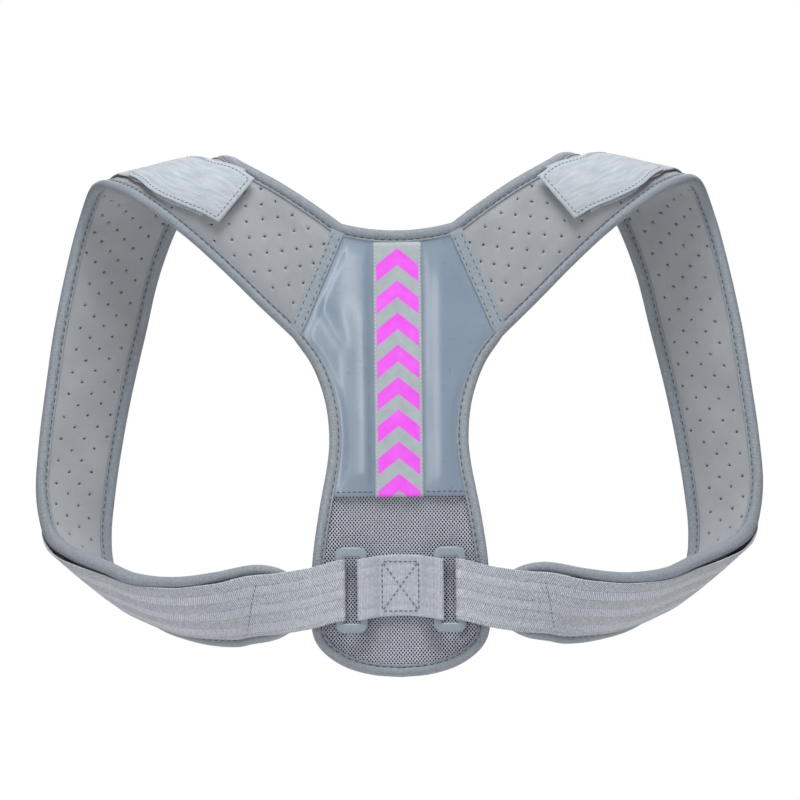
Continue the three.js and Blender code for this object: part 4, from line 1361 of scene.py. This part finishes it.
def arm_webbing_sections():
    """From the sewn end to the ring, round its bar, and back along the band to the shoulder."""
    sections = []
    doubled = web_base + WEB + GAP
    round_bar = bar_x - RING_BAR / 2 + RING_THICK / 2
    clear = bar_x + RING_BAR / 2 + WEB
    near_tip = mix(clear, tip_middle[0], NEAR_TIP)
    for u in (SEWN_ROW, *TIP_WEB_ROWS):
        sections.append(strip_on_band(u, web_middle(u), web_base, WEB_WIDTH, WEB, 0))
    sections.append(strip_near_ring(near_tip, web_base, 0))
    sections.append(strip_near_ring(clear, web_base, 0))
    for i in range(TURN_STEPS + 1):
        turn = i / TURN_STEPS * math.pi
        out = round_bar - math.sin(turn) * web_turn
        sections.append(strip_near_ring(out, ring_height - math.cos(turn) * web_turn, turn))
    top = ring_height + web_turn
    sections.append(strip_near_ring(clear, top, math.pi))
    sections.append(strip_near_ring(near_tip, mix(top, doubled, FALLEN_AT_TIP), math.pi))
    for u in (*TIP_WEB_ROWS[::-1], SEWN_ROW):
        sections.append(strip_on_band(u, web_middle(u), doubled, WEB_WIDTH, WEB, math.pi))
    for u in np.arange(SEWN_ROW - LOOP_STARTS, WEB_END_ROW, -LOOP_STEP):
        lie = mix(web_base, doubled, float(ease(u, SEWN_ROW - SINKS_OVER, SEWN_ROW)))
        sections.append(strip_on_band(u, web_middle(u), lie + stand_off(u), WEB_WIDTH, WEB, math.pi))
    end = web_middle(WEB_END_ROW)
    sections.append(strip_on_band(WEB_END_ROW, end, web_base, WEB_WIDTH, WEB, math.pi))
    return refined(np.array(sections), WEB_STEP)


def ring_seam(side):
    """The slanting seam across the doubled webbing near the ring."""
    share = np.linspace(*SEAM_SHARES, 20)
    place = TIP_START + mix(*SEAM_ALONG, share), mix(*SEAM_ACROSS, share)
    height = web_base + 1.5 * WEB + GAP + SEAM_LIFT
    line = on_band(*place, height)
    return mirrored(line, side), mirrored(on_band(*place, height + 1) - line, side)


arm_sections = arm_webbing_sections()
for side, where in ((-1, "left"), (1, "right")):
    bm, _ = bent_grid(mirrored(arm_sections, side))
    name = f"arm_webbing_{where}"
    strap = add_piece(name, bm, [webbing], [name])
    line, outward = ring_seam(side)
    places = seam_places(line, outward, "webbing")
    stitches = add_stitches(f"{name}_stitches", places, shade_darkened_thread)

# %% [markdown]
# ## Centre webbing
# A short loop joins the two rings. It goes round both inner bars, and its two layers are sewn together
# in the middle with a square and a cross, which draws them down flat there. The loop is closed, so its
# path is worked out section by section, as for the arm webbing, and pressed in where it is sewn.


# %% Centre webbing
def centre_path():
    """Place across, height, and the webbing's own outward direction, round the loop."""
    low_middle = MESH + GAP + WEB / 2
    high_middle = low_middle + WEB + GAP
    turn_x = RING_OUT - bar_offset + RING_BAR / 2 - RING_THICK / 2
    bar_edge = RING_OUT - bar_offset - RING_BAR / 2 - WEB
    rising = [mix(SEWN_HALF, bar_edge, share) for share in (0.66, 0.33)]
    half = [turn_x, bar_edge, *rising, SEWN_HALF, 4.0]
    places = [-x for x in half] + half[::-1]
    path = []
    for way, middle, end, face in (
        (1, low_middle, ring_height - web_turn, -1),
        (-1, high_middle, ring_height + web_turn, 1),
    ):
        for place in places:
            rise = float(ease(abs(place), SEWN_HALF, bar_edge))
            path.append((place * way, mix(middle, end, rise), 0.0, face))
        for i in range(TURN_STEPS):
            turn = i / TURN_STEPS * math.pi
            nx, nh = math.sin(turn) * way, face * math.cos(turn)
            path.append((turn_x * way + nx * web_turn, ring_height + nh * web_turn, nx, nh))
    return path, turn_x


FOLD_OUT = 20.2  # where the loop is pressed in beside each bar
FOLD_DEPTH, BOX_DEPTH = 0.9, 0.5

centre, turn_x = centre_path()
centre_sections = []
for x, height, nx, nh in centre + centre[:1]:
    rise = WEB_ARCH * (1 - (x / (turn_x + web_turn)) ** 2)
    aside = mix(-WEB_WIDTH / 2, WEB_WIDTH / 2, WEB_PROFILE[:, 0])
    face = WEB_PROFILE[:, 1] * WEB / 2
    centre_sections.append(on_back(x + face * nx, ring_down - rise + aside, height + face * nh))
centre_sections = refined(np.array(centre_sections), 0.9)
beside_bar = ridge(abs(centre_sections[..., 0]), FOLD_OUT, 0.8)
beside_box = ridge(abs(centre_sections[..., 0]), SEWN_HALF + 1.6, 0.9)
centre_sections[..., 1] += FOLD_DEPTH * beside_bar + BOX_DEPTH * beside_box
bm, _ = bent_grid(centre_sections)
centre_strap = add_piece("centre_webbing", bm, [ribbed_webbing], ["centre_webbing"])

# %% The square and cross
BOX_HALF, BOX_TOP, BOX_FOOT = 11.2, -14.5, 16.0
corners = [(-BOX_HALF, BOX_TOP), (BOX_HALF, BOX_TOP), (BOX_HALF, BOX_FOOT), (-BOX_HALF, BOX_FOOT)]
box_height = MESH + 2 * GAP + 2 * WEB + 0.12
matrices = []
for start, end in ((0, 1), (1, 2), (2, 3), (3, 0), (0, 2), (1, 3)):
    (x0, d0), (x1, d1) = corners[start], corners[end]
    share = np.linspace(0.02, 0.98, 20)
    down = ring_down - WEB_ARCH + mix(d0, d1, share)
    line, outward = back_line(mix(x0, x1, share), down, box_height)
    matrices += seam_places(line, outward, "box")
box_stitches = add_stitches("box_stitches", matrices, shade_darkened_thread)

# %% [markdown]
# ## Shoulder tabs
# The end of each webbing is closed by a tab of brushed fabric, two layers sewn together near the edges.
# It lies on the webbing and lifts a little at its free end. It is a strip like the webbing, set out on
# the same band, so it bends with it, and its section is thin along the two seams.

# %% Shoulder tabs
TAB_LIFT = {"lying": 0.4, "free": 1.6}
TAB_NARROWS = 2.5
# Places across the tab from 0 to 1, and the share of its half thickness there.
TAB_COLUMNS = np.array(
    [0, 0.012, 0.035, 0.065, 0.09, 0.2, 0.35, 0.5, 0.65, 0.8, 0.91, 0.935, 0.965, 0.988, 1]
)
TAB_FACE = np.array(
    [0.35, 0.85, 1.0, 0.72, 1.0, 1.25, 1.35, 1.4, 1.35, 1.25, 1.0, 0.72, 1.0, 0.85, 0.35]
)
TAB_PROFILE = np.concatenate(
    [np.stack([TAB_COLUMNS, TAB_FACE], axis=1), np.stack([TAB_COLUMNS, -0.8 * TAB_FACE], axis=1)[::-1]]
)
TAB_LIES_FROM, TAB_WIDE_FROM, TAB_LAST_ROW = 4.5, 4.0, 6.0  # rows of the band
TAB_SECTIONS, TAB_STEP = 16, 1.5  # sections at first, and the step between them when refined
TAB_SEWN = 2.4  # from the end seam to the tab's edge
TAB_GROOVES = (3, 11)  # columns of the two long seams
GROOVE_LIFT, END_SEAM_LIFT = 0.08, 0.05  # of the thread above the tab


def tab_height(u):
    """Height of the tab's middle above the band, which grows towards its free end."""
    lying = web_base + WEB / 2 + GAP + TAB / 2 + TAB_LIFT["lying"]
    return lying + TAB_LIFT["free"] * (1 - float(ease(u, TAB_END_ROW, TAB_LIES_FROM)))


def tab_width(u):
    """The tab narrows a little towards its free end."""
    return TAB_WIDTH - TAB_NARROWS * (1 - float(ease(u, TAB_END_ROW, TAB_WIDE_FROM)))


def make_tab(side, name):
    """One tab, with its two long seams and the seam across its free end."""
    rows = np.linspace(TAB_END_ROW, TAB_LAST_ROW, TAB_SECTIONS)
    sections = [
        strip_on_band(u, web_middle(u), tab_height(u), tab_width(u), TAB, 0, TAB_PROFILE) for u in rows
    ]
    sections = refined(np.array(sections), TAB_STEP)
    bm, _ = bent_grid(mirrored(sections, side))
    tab = add_piece(name, bm, [tab_fabric], [name])
    length = running_length(sections.mean(axis=1))
    count = len(TAB_COLUMNS)
    top, under = sections[:, :count], sections[:, count:][:, ::-1]
    outward = unit(top - under)
    matrices = []
    for column in TAB_GROOVES:
        rows = length > TAB_SEWN
        line = mirrored(top[rows, column] + GROOVE_LIFT * outward[rows, column], side)
        matrices += seam_places(line, mirrored(outward[rows, column], side), "tab")
    row = int(np.argmin(abs(length - TAB_SEWN)))
    between = slice(TAB_GROOVES[0], TAB_GROOVES[1] + 1)
    line = mirrored(top[row, between] + END_SEAM_LIFT * outward[row, between], side)
    matrices += seam_places(line, mirrored(outward[row, between], side), "tab")
    stitches = add_stitches(f"{name}_stitches", matrices, shade_darkened_thread)


for side, where in ((-1, "left"), (1, "right")):
    make_tab(side, f"shoulder_tab_{where}")

# %% [markdown]
# ## Rings
# Moulded nylon slides. A torus or a bent tube would give them round bars, and real ones are flat with
# rounded edges. So a flat rectangle gets its four corners rounded, an inset makes the bars, the middle
# is taken out, and the rest is thickened and its edges rounded over.


# %% Rings
RING_CORNER, RING_EDGE = RING_END - 0.5, 1.2  # radii of the outline and of the edges


def make_ring(side, name):
    """A ring that is made flat, in millimetres, and then placed on the back."""
    wide = RING_GAP + 2 * RING_BAR
    tall = WEB_WIDTH + RING_SLOT_SPARE + 2 * RING_END
    bm = bmesh.new()
    bmesh.ops.create_grid(bm, x_segments=1, y_segments=1, size=0.5)
    bmesh.ops.scale(bm, verts=bm.verts, vec=(wide, tall, 1))
    bmesh.ops.bevel(
        bm, geom=list(bm.verts), offset=RING_CORNER, offset_type="OFFSET", segments=8, profile=0.5,
        affect="VERTICES", material=-1,
    )
    slab = list(bm.faces)
    bmesh.ops.inset_region(bm, faces=slab, thickness=RING_BAR, use_boundary=True, use_even_offset=True)
    inner = list(slab[0].verts)
    bmesh.ops.scale(bm, verts=inner, vec=(1, (tall - 2 * RING_END) / (tall - 2 * RING_BAR), 1))
    bmesh.ops.delete(bm, geom=slab, context="FACES_ONLY")
    bmesh.ops.solidify(bm, geom=list(bm.faces), thickness=RING_THICK)
    bmesh.ops.recalc_face_normals(bm, faces=bm.faces)
    sharp = [edge for edge in bm.edges if edge.calc_face_angle(0) > math.radians(60)]
    bmesh.ops.bevel(
        bm, geom=sharp, offset=RING_EDGE, offset_type="OFFSET", segments=4, profile=0.5,
        affect="EDGES", material=-1,
    )
    low = min(vert.co.z for vert in bm.verts)
    bmesh.ops.translate(bm, verts=bm.verts, vec=(0, 0, -low - RING_THICK / 2))
    tilt = side * math.atan(2 * BACK_BOW * RING_OUT / REACH**2)
    turn = Matrix.Rotation(tilt, 4, "Z") @ Matrix.Rotation(math.pi / 2, 4, "X")
    centre = on_back(side * RING_OUT, ring_down, ring_height)
    place = Matrix.Translation(in_metres(centre)) @ Matrix.Scale(METRE, 4)
    bmesh.ops.transform(bm, matrix=place @ turn, verts=bm.verts)
    return add_piece(name, bm, [ring_plastic], [name])


for side, where in ((-1, "left"), (1, "right")):
    make_ring(side, f"ring_{where}")

# %% [markdown]
# ## Floor, light and finish
# The corrector hangs in its worn form over a plain pale floor. One even light all round would be easy,
# but the glossy leatherette would look flat. So a broad light overhead shapes the cloth, a tall narrow
# one to the left draws the long highlights, a weak one in front fills the shadows, and one behind
# lights the body side. The surroundings look white, and light the part only a little.

# %% Floor
FLOOR_BELOW, FLOOR_RADIUS = 0.22, 1.5  # metres
bm = bmesh.new()
bmesh.ops.create_circle(bm, cap_ends=True, segments=96, radius=FLOOR_RADIUS)
bmesh.ops.translate(bm, verts=bm.verts, vec=(0, 0, cad_low.z - FLOOR_BELOW))
floor_mesh = bpy.data.meshes.new("floor")
bm.to_mesh(floor_mesh)
bm.free()
floor = bpy.data.objects.new("floor", floor_mesh)
bpy.context.collection.objects.link(floor)
floor_paint, tree, shader = new_finish("floor_matt_white", 0.9)
surface(tree, shader, blotches(tree, 0.4, "F4F4F4", "FAFAFA"))
floor_mesh.materials.append(floor_paint)
print("floor at", round(cad_low.z - FLOOR_BELOW, 3), "metres")


# %% Light
MIDDLE = Vector((0, 0, -0.14))  # of the part, which all lights face


def add_light(name, place, size, power, mirrored_in_gloss=True):
    """A rectangular light that the camera doesn't see."""
    data = bpy.data.lights.new(name, "AREA")
    data.shape, data.energy = "RECTANGLE", power
    data.size, data.size_y = size
    light = bpy.data.objects.new(name, data)
    light.location = place
    light.rotation_euler = (MIDDLE - Vector(place)).to_track_quat("-Z", "Y").to_euler()
    light.visible_camera = False
    light.visible_glossy = mirrored_in_gloss
    bpy.context.collection.objects.link(light)


add_light("overhead", (0.0, -0.75, 1.5), (0.8, 0.8), 31)
add_light("strip", (-0.52, -1.95, 0.16), (0.14, 0.9), 6)
add_light("front", (0.9, -1.8, 0.2), (1.2, 1.2), 1.5, mirrored_in_gloss=False)
add_light("body_side", (0.2, 1.9, 0.5), (1.4, 1.4), 14)
print("lights:", [thing.name for thing in bpy.data.lights])

world = bpy.data.worlds.new("studio")
bpy.context.scene.world = world
world.use_nodes = True
world.node_tree.nodes.clear()
seen = add(world.node_tree, "ShaderNodeLightPath").node.outputs["Is Camera Ray"]
strength = add(world.node_tree, "ShaderNodeMapRange", {"Value": seen, "To Min": 0.2, "To Max": 1.0})
sky = add(world.node_tree, "ShaderNodeBackground", {"Color": colour("FFFFFF"), "Strength": strength})
add(world.node_tree, "ShaderNodeOutputWorld", {"Surface": sky})
bpy.context.scene.view_settings.view_transform = "Standard"
